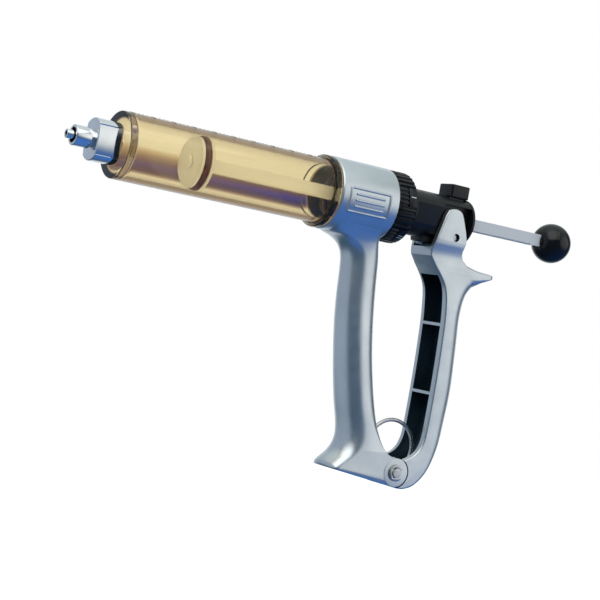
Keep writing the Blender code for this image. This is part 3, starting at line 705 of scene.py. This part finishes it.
# --- casting ---
# Grip sections from top to bottom: front point and rear point (x, z), half width, and how far the
# rounding of the rear edge and of the front edge reaches.
GRIP_SECTIONS = [
    ((108.4, -11.2), (139.4, -11.2), 12.7, 3.0, 5.0),
    ((108.8, -13.2), (139.5, -13.2), 11.4, 3.4, 5.6),
    ((110.0, -15.4), (139.8, -15.0), 10.15, 4.0, 6.2),
    ((112.9, -17.4), (140.3, -16.8), 9.35, 5.0, 6.8),
    ((116.6, -18.6), (140.9, -18.8), 8.85, 6.0, 7.6),
    ((120.4, -20.7), (141.8, -21.4), 8.45, 7.2, 8.2),
    ((123.0, -23.6), (142.6, -24.2), 8.15, 8.0, 8.6),
    ((124.6, -27.6), (143.3, -27.6), 8.0, 8.6, 8.8),
    ((125.4, -35.0), (144.0, -35.0), 8.1, 9.0, 9.0),
    ((126.1, -45.0), (145.0, -45.0), 8.4, 9.2, 9.0),
    ((127.6, -57.5), (146.5, -57.0), 8.8, 9.2, 9.0),
    ((130.0, -71.0), (148.8, -70.5), 9.2, 9.2, 9.0),
    ((132.9, -84.5), (151.9, -84.0), 9.6, 9.0, 9.0),
    ((135.8, -95.5), (154.8, -94.5), 9.8, 8.4, 8.8),
    ((138.1, -103.0), (157.2, -102.3), 9.95, 7.0, 9.2),
    ((139.2, -108.5), (159.4, -108.0), 10.05, 4.8, 9.4),
    ((139.0, -112.3), (161.5, -112.2), 10.1, 3.2, 9.6),
    ((137.8, -115.8), (164.2, -115.2), 10.12, 2.2, 9.6),
    ((135.8, -118.9), (167.8, -117.2), 10.12, 1.6, 9.2),
    ((133.4, -121.4), (171.0, -120.5), 10.12, 1.2, 8.2),
    ((131.7, -123.6), (172.0, -124.6), 10.12, 1.2, 6.4),
    ((131.9, -125.0), (171.0, -128.8), 10.12, 1.2, 4.6),
    ((132.6, -125.7), (168.8, -130.8), 9.7, 1.2, 3.6),
]


def grip_section(front, rear, half_width, rear_radius, front_radius, per_corner=9):
    """A ring round the grip between two points, each edge a quarter of an ellipse on either side."""
    front, rear = Vector((front[0], 0, front[1])), Vector((rear[0], 0, rear[1]))
    across = (rear - front).normalized()
    ring = []
    for side in (1, -1):
        corners = ((front, across, front_radius), (rear, -across, rear_radius))
        for corner, inward, radius in corners[::side]:
            for k in range(per_corner + 1):
                share = k if (corner is front) == (side == 1) else per_corner - k
                angle = math.pi / 2 * share / per_corner
                if share == 0 and side == -1:
                    continue
                point = corner + inward * radius * (1 - math.cos(angle))
                ring.append(point + Vector((0, side * half_width * math.sin(angle), 0)))
    return ring


PLATE_X = (112.4, 134.4)  # the blank name plate
PLATE_ANGLES = (-25, 12)  # degrees up from the collar's left side
PLATE_BEAD = 0.62
PLATE_BARS = (-16, -6.5, 3)  # degrees, as above
PLATE_MARGIN = 3.2


def name_plate():
    """A plain frame of half-round beads with three bars, on the collar's left side."""
    def spot(x, degrees):
        angle = math.radians(degrees)
        return (x, -COLLAR_R * math.cos(angle), COLLAR_R * math.sin(angle))

    (left, right), (low, high) = PLATE_X, PLATE_ANGLES
    beads = [[spot(left, low), spot(right, low)], [spot(left, high), spot(right, high)]]
    beads += [[spot(x, low + (high - low) * k / 12) for k in range(13)] for x in (left, right)]
    beads += [[spot(left + PLATE_MARGIN, degrees), spot(right - PLATE_MARGIN, degrees)]
              for degrees in PLATE_BARS]
    return [tube(bead, PLATE_BEAD, 16) for bead in beads]


def make_casting():
    table = smooth_curve([(*f, *r, w, b, a) for f, r, w, b, a in GRIP_SECTIONS], 3)
    sections = [grip_section(row[0:2], row[2:4], *row[4:7]) for row in table]
    casting = to_mesh_object("grip_casting", loft(sections))

    start, end = COLLAR
    collar = washer(COLLAR, 0, COLLAR_R, [0, 1.0, 0.8, 0], 5, 158)
    ears = cylinder(EAR_R, -HALF_WIDTH, HALF_WIDTH, "Y", HINGE, 96, edge=0.5)
    boolean(casting, "UNION", collar, ears)

    barrel_seat, dial_seat = 117.2, 135.2       # x where each one stops inside the collar
    barrel_r, throat_r, spigot_r, ring_r = BARREL_R + 0.3, 11.7, 14.2, 14.6
    bore = [(start - 9, 0), (start - 9, barrel_r), (barrel_seat, barrel_r),
            (barrel_seat, throat_r), (dial_seat, throat_r), (dial_seat, spigot_r),
            (RING_GROOVE[0], spigot_r), (RING_GROOVE[0], ring_r), (RING_GROOVE[1], ring_r),
            (RING_GROOVE[1], spigot_r), (end + 9, spigot_r), (end + 9, 0)]
    slot_half = TONGUE_HALF + 0.3
    slot = cylinder(EAR_R + 0.6, -slot_half, slot_half, "Y", HINGE, 98)
    hole = cylinder(HINGE_HOLE_R, -20, 20, "Y", HINGE, 48)
    spring_pocket = block((154.3, 172), (-2.6, 2.6), (-119.5, -99))
    boolean(casting, "DIFFERENCE", turned(bore, 134), slot, hole, spring_pocket)
    finish_piece(casting, "cast_metal", "frame", ["frame_casting"], 28)
    piece("blank_name_plate", merge(name_plate()), "cast_metal", "frame")


# --- barrel and nozzle ---
def make_barrel():
    start, end = FLANGE
    tail = BARREL[0][1]
    mouth_r, front_wall = 4.3, 4
    outline = [(0, mouth_r), (0, BARREL_R), (start, BARREL_R), (start, FLANGE_R),
               (end, FLANGE_R), (end, BARREL_R), (tail, BARREL_R), (tail, BORE_R),
               (front_wall, BORE_R), (front_wall, mouth_r)]
    radii = [0, 0.9, 0.5, 0.7, 0.5, 0.2, 0.3, 0.3, 1.2, 0]
    piece("barrel_tube", turned(rounded(outline, radii, 6), 192), "amber_barrel", "frame",
          ["barrel"], 40)


SCALE_START = 4.0  # x of the zero mark
MILLILITRE = 2.037  # length of bore that holds one
SCALE_MARKS = 50
SCALE_PROUD = 0.22
SCALE_ANGLE = 84  # degrees up from the barrel's left side


def make_scale():
    """Raised millilitre marks along the barrel's upper left side."""
    tint = amber_plastic("amber_marks", (0.55, 0.42, 0.27), (0.2, 0.3))
    low, out = BARREL_R + 0.02, BARREL_R + SCALE_PROUD

    def mark(x, width, half_span, centre, count=8):
        spots = [(x - width / 2, low), (x - width / 2, out), (x + width / 2, out),
                 (x + width / 2, low)]
        rings = []
        for k in range(count + 1):
            a = centre + half_span * (2 * k / count - 1)
            rings.append([(along, -r * math.cos(a), r * math.sin(a)) for along, r in spots])
        return loft(rings)

    long_centre = math.radians(SCALE_ANGLE)
    short_centre = long_centre + math.radians(7)
    marks = []
    for number in range(SCALE_MARKS + 1):
        x = SCALE_START + number * MILLILITRE
        if x > FLANGE[0] - 1:
            break
        if number % 5 == 0:
            marks.append(mark(x, 0.34, math.radians(13), long_centre))
        else:
            marks.append(mark(x, 0.22, math.radians(6), short_centre))
    piece("barrel_scale_marks", merge(marks), "amber_barrel", "frame", paint=tint)


def make_nozzle():
    hub_r = 9.5
    outline = [(-20.4, 3.4), (-20.4, 4.6), (-12.9, 4.6), (-12.9, 3.8), (-11.7, 3.8),
               (-11.7, hub_r), (-0.3, hub_r), (-0.3, 6.3), (-1.2, 6.3), (-1.2, 4.0), (3.7, 4.0),
               (3.7, 1.3), (-7, 1.3), (-7, 2.6), (-12.5, 2.6), (-12.5, 3.4)]
    radii = [0.15, 0.9, 0.5, 0.15, 0.2, 0.7, 0.3, 0, 0, 0, 0.2, 0, 0, 0, 0, 0]
    hub = to_mesh_object("nozzle_body", turned(rounded(outline, radii, 5), 126))
    half_flat, crown_r, outside = 6.9, 26.0, 14         # the wrench flats bulge a little
    flats = []
    for side in (-1, 1):
        crown = [(side * y, z) for y, z in arc((half_flat - crown_r, 0), crown_r, -15, 15, 36)]
        crown += [(side * outside, crown[-1][1]), (side * outside, crown[0][1])]
        flats.append(loft([[(x, y - side * deeper, z) for y, z in crown]
                           for x, deeper in ((-12.7, 1.4), (-11.3, 0), (0.5, 0))]))
    boolean(hub, "DIFFERENCE", *flats)
    finish_piece(hub, "chrome", "frame", ["nozzle_hub"], 30)

    cone = [(-23.5, 1.1), (-23.5, 2.0), (-12.5, 2.3), (-7.3, 2.3), (-7.3, 1.1)]
    piece("needle_cone", turned(rounded(cone, [0.2, 0.35, 0, 0.1, 0.1], 5), 64), "chrome", "frame",
          ["luer_cone"])
    for node, inner, outer in (("nozzle_gasket", 4.3, 5.8), ("barrel_gasket", 12.5, 15)):
        ring = washer(measured(node)[0], inner, outer, [0.2] * 4, 4, 96)
        piece(node + "_ring", ring, "seal_rubber", "frame", [node])


# --- small steel parts ---
def make_hinge_pin():
    half = measured("hinge_pin")[1][1]
    pin_r, groove_r, inner, outer = 2.3, 1.7, 10.2, 11.25       # the grooves hold the clips
    edge = [(-half, 0), (-half, pin_r), (-outer, pin_r), (-outer, groove_r), (-inner, groove_r),
            (-inner, pin_r), (inner, pin_r), (inner, groove_r), (outer, groove_r),
            (outer, pin_r), (half, pin_r), (half, 0)]
    radii = [0, 0.5] + [0] * 8 + [0.5, 0]
    piece("hinge_pin_turned", turned(rounded(edge, radii), 56, "Y", HINGE), "steel", "frame",
          ["hinge_pin"])


def make_hinge_clips():
    """E rings: open at one side, with three teeth that reach in to the pin's groove."""
    opening, count = 70, 60
    first, last = opening / 2, 360 - opening / 2
    outside = arc((0, 0), 4, first, last, count)
    inside = []
    for k in range(count + 1):
        angle = last - (360 - opening) * k / count
        tooth = 0.5 + 0.5 * math.cos(math.radians(3 * (angle - 60)))
        radius = 2.0 + 0.75 * (1 - tooth) ** 2
        inside.append((radius * math.cos(math.radians(angle)),
                       radius * math.sin(math.radians(angle))))
    outline = [(x + HINGE.x, z + HINGE.z) for x, z in outside + inside]
    for name in ("hinge_clip_near", "hinge_clip_far"):
        clip = to_mesh_object(name + "_e_ring", plate(outline, measured(name)[1]))
        soften(clip, 0.08)
        finish_piece(clip, "steel", "frame", [name])


def make_return_spring():
    """A ring of wire above the hinge, between the grip and the lever; its shape here is fixed."""
    box = measured("return_spring")
    ring_r, wire_r = 12.85, 0.95
    centre = (box[0][1] - ring_r - wire_r, box[2][1] - ring_r - wire_r)
    points = [(x, 0, z) for x, z in arc(centre, ring_r, -20, 198, 110)]
    spring = to_mesh_object("return_spring_wire", tube(points, wire_r, 24))
    bent = ("frame", "lever", points[-1], points[0])
    finish_piece(spring, "steel", bent, ["return_spring"])


def make_dial_detent():
    """The ball and spring that hold the dial at a dose, and the ring that holds the dial."""
    centre = centre_of("detent_ball")
    bm = bmesh.new()
    place = Matrix.Translation(centre)
    bmesh.ops.create_uvsphere(bm, u_segments=32, v_segments=20, radius=0.8, matrix=place)
    piece("detent_ball_round", bm, "steel", "frame", ["detent_ball"])
    start = Vector((134, 0, centre.z))
    piece("detent_spring_wire", coil(start, "X", 3.4, 0.6, 0.15, 4), "steel", "frame",
          ["detent_spring"])
    ring = arc((0, 0), 14.3, 20, 340, 80) + arc((0, 0), 13.5, 340, 20, 80)
    bm = loft([[(x, y, z) for y, z in ring] for x in measured("dial_snap_ring")[0]])
    piece("dial_snap_ring_wire", bm, "steel", "frame", ["dial_snap_ring"])


# --- dial ---
DOSES = 5
SECTOR = 360 / DOSES
PAD_CENTRE = 18.0  # degrees round from +Y to the first pad's middle
PAD_HALF = 16.0  # degrees; half a pad's width
FINE_RIBS = 50  # as many as fit in a full turn
COARSE_RIBS = 36
BAND_SPLIT = 145.3  # x of the groove between the two ribbed bands
CORE_R = 11.6  # the dial's opening for the carriage
CAM_R = 13.7
STROKE_X = (146.2, 148.9)


def dial_ripple(along, radius, angle):
    """Smooth pads with fine ribs in front of them, and coarse ribs across both bands between."""
    if radius < 15.5 or along < DIAL_FRONT + 0.2 or along > DIAL[0][1] - 0.1:
        return 0
    degrees = math.degrees(angle)
    off = abs((degrees - PAD_CENTRE + SECTOR / 2) % SECTOR - SECTOR / 2)
    if off < PAD_HALF:
        wave = math.cos(math.radians(FINE_RIBS * degrees))
        return 0 if along > BAND_SPLIT else -0.6 * min(1, max(0, 0.2 - 1.3 * wave))
    fill = DIAL_R - radius if abs(along - BAND_SPLIT) < 0.5 else 0
    wave = math.cos(math.radians(COARSE_RIBS * (off - SECTOR / 2) + 180))
    return fill - 0.95 * min(1, max(0, 0.4 - 1.2 * wave))


def make_dial():
    front, rear = DIAL_FRONT, DIAL[0][1]
    spigot = DIAL[0][0]
    rim = [(front, 13.9), (front, DIAL_R - 0.9), (front + 0.5, DIAL_R - 0.15),
           (front + 0.9, DIAL_R), (BAND_SPLIT - 0.7, DIAL_R), (BAND_SPLIT - 0.25, DIAL_R - 0.25),
           (BAND_SPLIT - 0.05, DIAL_R - 0.9), (BAND_SPLIT + 0.05, DIAL_R - 0.9),
           (BAND_SPLIT + 0.25, DIAL_R - 0.25), (BAND_SPLIT + 0.6, DIAL_R),
           (rear - 1.2, DIAL_R), (rear - 0.5, DIAL_R - 0.15), (rear - 0.05, DIAL_R - 0.8)]
    spigot_r, groove_r, recess_r, recess = 13.9, 13.2, 14.0, 142.2
    outline = [(spigot, CORE_R), (spigot, spigot_r), (RING_GROOVE[0], spigot_r),
               (RING_GROOVE[0], groove_r), (RING_GROOVE[1], groove_r),
               (RING_GROOVE[1], spigot_r), *rim, (rear, recess_r), (recess, recess_r),
               (recess, CORE_R)]
    piece("dial_body", turned(outline, 600, ripple=dial_ripple), "black_plastic", "dial",
          ["dose_dial"], 38)


def make_dose_cam():
    """A ring whose rear face is cut down in steps, one for each dose."""
    inner, front, rear, step = 11.7, 142.5, 148.2, 0.8
    ring = [(front, inner), (front, CAM_R), (rear, CAM_R), (rear, inner)]
    cam = to_mesh_object("dose_cam_ring", turned(ring, 120))
    for k in range(1, DOSES):
        sector = arc((0, 0), 20, SECTOR * k, 360, 24) + [(0, 0)]
        ends = (rear - step * k, 150 + 0.1 * k)
        boolean(cam, "DIFFERENCE", loft([[(x, y, z) for y, z in sector] for x in ends]))
    finish_piece(cam, "steel", "dial", ["dose_cam"])


def make_dial_cap():
    seat = DIAL[0][1] + 0.3
    front, end = 148.7, 152.6
    cap = [(front, CORE_R), (front, CAM_R), (seat, CAM_R), (seat, 16.0), (151.4, 14.9),
           (end, 12.3), (end, CORE_R)]
    piece("dial_shoulder", turned(rounded(cap, [0, 0, 0, 0.3, 0.9, 0.4, 0.2]), 160),
          "black_plastic", "dial", ["dial_cap"])


def make_dose_strokes():
    """One to five printed strokes, one group on each pad."""
    half_stroke = 0.012                 # radians
    strokes = []
    for number in range(1, DOSES + 1):
        centre = math.radians(180 - PAD_CENTRE + SECTOR * (number - 1))
        for k in range(number):
            angle = centre + (k - (number - 1) / 2) * 1.5 / DIAL_R
            strokes.append(loft([[(x, r * math.cos(a), r * math.sin(a))
                                  for a in (angle - half_stroke, angle + half_stroke)
                                  for x in (STROKE_X if a < angle else STROKE_X[::-1])]
                                 for r in (DIAL_R - 0.1, DIAL_R + 0.08)]))
    piece("dial_dose_strokes", merge(strokes), "black_plastic", "dial", paint=INK)


# --- carriage ---
PAWL_SPRING_X = 175.6
GUIDE_SCREW_X = 166.2


def make_housing():
    start, end = SLEEVE
    housing = to_mesh_object("carriage_body", washer(SLEEVE, 0, SLEEVE_R, [0, 0.8, 0.05, 0]))
    tongue = rounded([(164, -8), (164, -13), (184, -13), (184, -8)], [0, 1.2, 1.2, 0])
    boolean(housing, "UNION", plate(tongue, (-4.8, 4.8)))
    pocket = [(170.9, 6.6), (164.6, -12), (164.6, -20), (190, -20), (190, 6.6)]
    pocket = rounded(pocket, [1.5, 0.5, 0, 0, 0])
    flat = [(154.5, 4.8), (154.5, -6.3), (190, -6.3), (190, 4.8)]
    for side in (-1, 1):
        boolean(housing, "DIFFERENCE", plate(pocket, sorted((side * 6.9, side * 14))),
                plate(flat, sorted((side * 10.1, side * 14))))
    boolean(housing, "DIFFERENCE",
            block((start - 10, end + 10), *ROD_SLOT),
            block((173.3, 177.9), (-5.6, 5.6), (-9.3, 8.4)),            # the pawl's yoke
            block((173.0, 185.4), (-4.1, 4.1), (4.7, 8.6)),             # the button's stem
            block((175.7, end + 10), (-5.6, 5.6), (8.5, 20)),           # the button
            cylinder(1.9, -20, -9, "Z", (PAWL_SPRING_X, 0, 0), 40),
            cylinder(1.3, -20, -9, "Z", (GUIDE_SCREW_X, 0, 0), 32),
            block((PIN.x - 1.95, PIN.x + 1.95), (-14, 14), (PIN.z - 2.3, PIN.z + 2.6)))
    soften(housing, 0.25, 2, 38)
    finish_piece(housing, "black_plastic", "carriage", ["carriage_housing"])


def make_end_cap():
    x = measured("carriage_cap")[0]
    cap = to_mesh_object("carriage_end_cap", washer(x, 0, SLEEVE_R, [0, 0.15, 0.9, 0], 6))
    boolean(cap, "DIFFERENCE", block((x[0] - 5, x[1] + 5), *ROD_SLOT))
    soften(cap, 0.15, 2, 50)
    finish_piece(cap, "black_plastic", "carriage", ["carriage_cap"])


def make_carriage_studs():
    plug = measured("pawl_spring_plug")[2]
    stud = cylinder(1.6, *plug, "Z", (PAWL_SPRING_X, 0, 0), 48, edge=0.25)
    piece("spring_plug", stud, "steel", "carriage", ["pawl_spring_plug"])
    screw = [(-14.2, 0), (-14.2, 1.5), (-13.3, 1.9), (-13.3, 1), (-9.6, 1), (-9.6, 0)]
    screw = turned(rounded(screw, [0, 0.3, 0.1, 0, 0.2, 0]), 40, "Z", (GUIDE_SCREW_X, 0, 0))
    head = to_mesh_object("guide_screw_slotted", screw)
    slot = block((GUIDE_SCREW_X - 6.2, GUIDE_SCREW_X + 5.8), (-0.25, 0.25), (-15, -13.75))
    boolean(head, "DIFFERENCE", slot)
    finish_piece(head, "steel", "carriage", ["guide_screw"])


def make_button():
    x, z = (176.0, 186.8), (10.8, BUTTON_TOP)
    button = to_mesh_object("release_button_cap", block(x, (-5.3, 5.3), z))
    soften(button, 0.7, 4, 40)
    stem = [(173.6, 6.7), (185, 6.7), (185, 12), (176.4, 12), (176.4, 8.2), (173.6, 8.2)]
    boolean(button, "UNION", plate(stem, (-3.8, 3.8)))
    boolean(button, "DIFFERENCE", block((175.5, 176.9), (-6, -4.7), (9.5, 16.4)))
    finish_piece(button, "black_plastic", "release", ["release_button"])


def make_pawl():
    """The yoke round the rod, its toothed pawl, and the spring that the button squeezes."""
    yoke = to_mesh_object("pawl_yoke_frame", block((173.6, 177.6), (-5.3, 5.3), (-7.2, 6.4)))
    boolean(yoke, "DIFFERENCE", block((173, 178), (-3, 3), (-5.5, 4.9)))
    soften(yoke, 0.25)
    finish_piece(yoke, "black_plastic", "release", ["pawl_yoke"])

    top, base = ROD[2][0] - 0.3, -5.2
    front, rear, pitch = 174, 177.2, 1.02
    teeth = [(front, base), (rear, base)]
    for k in range(3):
        teeth += [(rear - pitch * k, top - 0.5), (176.9 - pitch * k, top)]
    teeth += [(front, top - 0.5)]
    piece("pawl_toothed", plate(teeth, (-2.7, 2.7)), "steel", "release", ["pawl"])
    foot = Vector((PAWL_SPRING_X, 0, measured("pawl_spring")[2][0] + 0.3))
    height = 4.2
    pressed = ("carriage", "release", foot, foot + Vector((0, 0, height)))
    piece("pawl_spring_wire", coil(foot, "Z", height, 1.2, 0.25, 4), "steel", pressed,
          ["pawl_spring"])


# --- lever ---
# The lever's outline in stretches: x, z and the reach of the rounding of its side edges.
LEVER_FRONT = [(173.0, -117.4, 0.8), (178.4, -114.0, 0.8), (181.4, -109.0, 0.9),
               (182.3, -101.0, 1.0), (182.5, -80.0, 1.0), (182.0, -58.0, 1.0),
               (181.0, -43.4, 1.0), (178.4, -32.0, 1.0), (171.2, -23.0, 1.0)]
EAR_FRONT = [(168.2, -19.0, 0.8), (167.9, -16.0, 0.8), (169.4, -9.4, 0.8), (172.0, 1.0, 0.8)]
EAR_TOP = [(173.4, 4.0, 0.8), (176.9, 5.1, 0.8), (180.6, 4.5, 0.8), (183.0, 1.3, 0.8),
           (186.6, -8.2, 0.8), (186.3, -14.6, 1.0), (187.7, -18.2, 1.2)]
HORN = [(191.0, -20.5, 1.4), (198.0, -21.9, 1.2), (204.6, -22.4, 0.8), (207.9, -23.0, 0.5),
        (207.9, -24.0, 0.5), (205.0, -25.4, 0.8), (201.2, -27.3, 2.4)]
LEVER_REAR = [(197.4, -30.6, 6.5), (195.1, -36.0, 8.3), (194.2, -45.5, 8.8),
              (195.3, -61.0, 8.8), (196.3, -80.5, 8.6), (195.4, -96.0, 8.0),
              (193.1, -110.4, 6.0), (187.9, -121.8, 3.2), (181.5, -128.6, 1.7),
              (175.6, -131.1, 1.0), (171.3, -131.3, 0.8)]
CHANNEL_BAYS = [                        # x and z of the floors between the cross ribs
    [(184.0, -27.5), (189.2, -33.0), (189.5, -49.9)],
    [(189.6, -51.3), (190.6, -67.0), (191.3, -83.3)],
    [(191.3, -84.7), (190.6, -97.0), (188.9, -109.5), (184.4, -119.5)],
]


CHANNEL_HALF = 7.2
CHANNEL_FRONT = 160  # x of a plane ahead of the whole lever
FORK_FLOOR = -14.9


def horn_trim():
    """What is cut off round the horn, whose plan is a superellipse."""
    centre, reach, width, power = 190, 19.2, 10.25, 4
    outline = []
    for k in range(41):
        angle = math.pi * (k / 40 - 0.5)
        along = abs(math.cos(angle)) ** (2 / power)
        across = math.copysign(abs(math.sin(angle)) ** (2 / power), angle)
        outline.append((centre + reach * along, width * across))
    outline += [(centre, 13), (220, 13), (220, -13), (centre, -13)]
    return loft([[(x, y, z) for x, y in outline] for z in (-27.6, -17.5)])


# Half width of the lever by height (z, half width): the fork narrows into the body below it.
WAIST = [(-10.4, 10.2), (-12.4, 9.95), (-14.2, 9.45), (-16.0, 8.95), (-17.8, 8.65), (-20.0, 8.6),
         (-24.0, 8.85), (-30.0, 9.45), (-37.0, 10.0), (-43.0, 10.2)]


def narrow(bm):
    """Cuts the side faces at each height of WAIST and moves them to its half width."""
    curve = smooth_curve(WAIST, 4)
    for z, _ in curve:
        bmesh.ops.bisect_plane(bm, geom=bm.verts[:] + bm.edges[:] + bm.faces[:],
                               plane_co=(0, 0, z), plane_no=(0, 0, 1))
    for vert in bm.verts:
        for (high, wide), (low, narrower) in zip(curve, curve[1:]):
            if low <= vert.co.z <= high:
                share = (high - vert.co.z) / (high - low)
                vert.co.y *= (wide + (narrower - wide) * share) / HALF_WIDTH
                break


def make_lever():
    path = []
    for stretch in (LEVER_FRONT, EAR_FRONT, EAR_TOP, HORN, LEVER_REAR):
        path += smooth_curve(stretch, 6)
    boss = arc((HINGE.x, HINGE.z), 6.9, 285, 60, 60)
    outline = [(x, z) for x, z, _ in path] + boss
    radii = [radius for _, _, radius in path] + [0.5] * len(boss)
    solid = rounded_plate(outline, radii, HALF_WIDTH)
    narrow(solid)
    shell = to_mesh_object("squeeze_lever", solid)
    for side in (-1, 1):
        ends = sorted((side * TONGUE_HALF, side * 20))
        boolean(shell, "DIFFERENCE", cylinder(EAR_R + 0.4, *ends, "Y", HINGE, 98))
    for bay in CHANNEL_BAYS:
        floor = smooth_curve(bay, 5)
        outline = [(CHANNEL_FRONT, floor[0][1]), *floor, (CHANNEL_FRONT, floor[-1][1])]
        boolean(shell, "DIFFERENCE", plate(outline, (-CHANNEL_HALF, CHANNEL_HALF)))
    boolean(shell, "DIFFERENCE",
            block((CHANNEL_FRONT, 190), (-CHANNEL_HALF, CHANNEL_HALF), (FORK_FLOOR, 20)),
            cylinder(PIN_R + 0.3, -20, 20, "Y", PIN, 48),
            cylinder(HINGE_HOLE_R, -20, 20, "Y", HINGE, 50),
            horn_trim())
    finish_piece(shell, "cast_metal", "lever", ["lever"], 30)
    y = measured("lever_pin")[1]
    piece("lever_pin_round", cylinder(PIN_R, *y, "Y", PIN, 48, edge=0.3), "steel", "lever",
          ["lever_pin"])


# --- plunger ---
SCREW_HOLE_R = 1.7


def make_rod():
    """The flat rod, with half-millilitre saw teeth on its lower edge."""
    pitch, depth = MILLILITRE / 2, 0.6
    first_tooth, rack_length = 64, 168
    low, high = ROD[2]
    start, end = ROD[0]
    outline = [(start, low), (start, high), (end, high), (end, low)]
    for k in range(int(rack_length / pitch), 0, -1):
        root = first_tooth + k * pitch
        outline += [(root, low), (root - 0.4 * pitch, low + depth)]
    outline.append((first_tooth, low))
    half = ROD[1][1]
    rod = to_mesh_object("rack_rod_fine", plate(outline, (-half, half)))
    boolean(rod, "DIFFERENCE", cylinder(SCREW_HOLE_R, 42, 51, "X", segments=32))
    finish_piece(rod, "pale_plastic", "plunger", ["rack_rod"])


def make_piston():
    """Two discs with a seal between them, held on the rod by a slotted screw and a nut."""
    for node, radius, edge, slot in (("piston_front_disc", 11.6, 0.5, "pale_plastic"),
                                     ("piston_seal", 12.2, 0.9, "seal_rubber"),
                                     ("piston_rear_disc", 11.6, 0.5, "pale_plastic")):
        disc = washer(measured(node)[0], SCREW_HOLE_R, radius, [0, edge, edge, 0], 6, 128)
        piece(node + "_round", disc, slot, "plunger", [node])

    x = measured("piston_screw")[0]
    screw = [(x[0], 0), (x[0], 2.8), (36.2, 3), (36.2, 1.4), (x[1], 1.4), (x[1], 0)]
    head = to_mesh_object("piston_screw_slotted",
                          turned(rounded(screw, [0, 0.9, 0.1, 0, 0.3, 0], 5), 64))
    boolean(head, "DIFFERENCE", block((30, 35), (-0.4, 0.4), (-5, 5)))
    finish_piece(head, "pale_plastic", "plunger", ["piston_screw"])
    x = measured("piston_nut")[0]
    nut = [(x[0], SCREW_HOLE_R), (x[0], 4), (x[1], 4), (x[1], SCREW_HOLE_R)]
    hexagon = to_mesh_object("piston_nut_hexagon", turned(nut, 6))
    soften(hexagon, 0.15)
    finish_piece(hexagon, "steel", "plunger", ["piston_nut"])


def make_ball():
    fit = 0.3                           # room round the rod's end
    low, high = ROD[2]
    half = ROD[1][1]
    centre = Vector((BALL_REAR - BALL_R, 0, 0))
    bm = bmesh.new()
    place = Matrix.Translation(centre) @ Matrix.Rotation(math.pi / 2, 4, "Y")
    bmesh.ops.create_uvsphere(bm, u_segments=96, v_segments=64, radius=BALL_R, matrix=place)
    knob = to_mesh_object("ball_knob_round", bm)
    boolean(knob, "DIFFERENCE", block((centre.x - 20, ROD[0][1] + fit), (-half - fit, half + fit),
                                      (low - fit, high + fit)))
    soften(knob, 0.3, 3, 45)
    finish_piece(knob, "black_knob", "plunger", ["ball_knob"], 35)


set_camera()
set_studio()
make_casting()
make_barrel()
make_scale()
make_nozzle()
make_hinge_pin()
make_hinge_clips()
make_return_spring()
make_dial_detent()
make_dial()
make_dose_cam()
make_dial_cap()
make_dose_strokes()
make_housing()
make_end_cap()
make_carriage_studs()
make_button()
make_pawl()
make_lever()
make_rod()
make_piston()
make_ball()
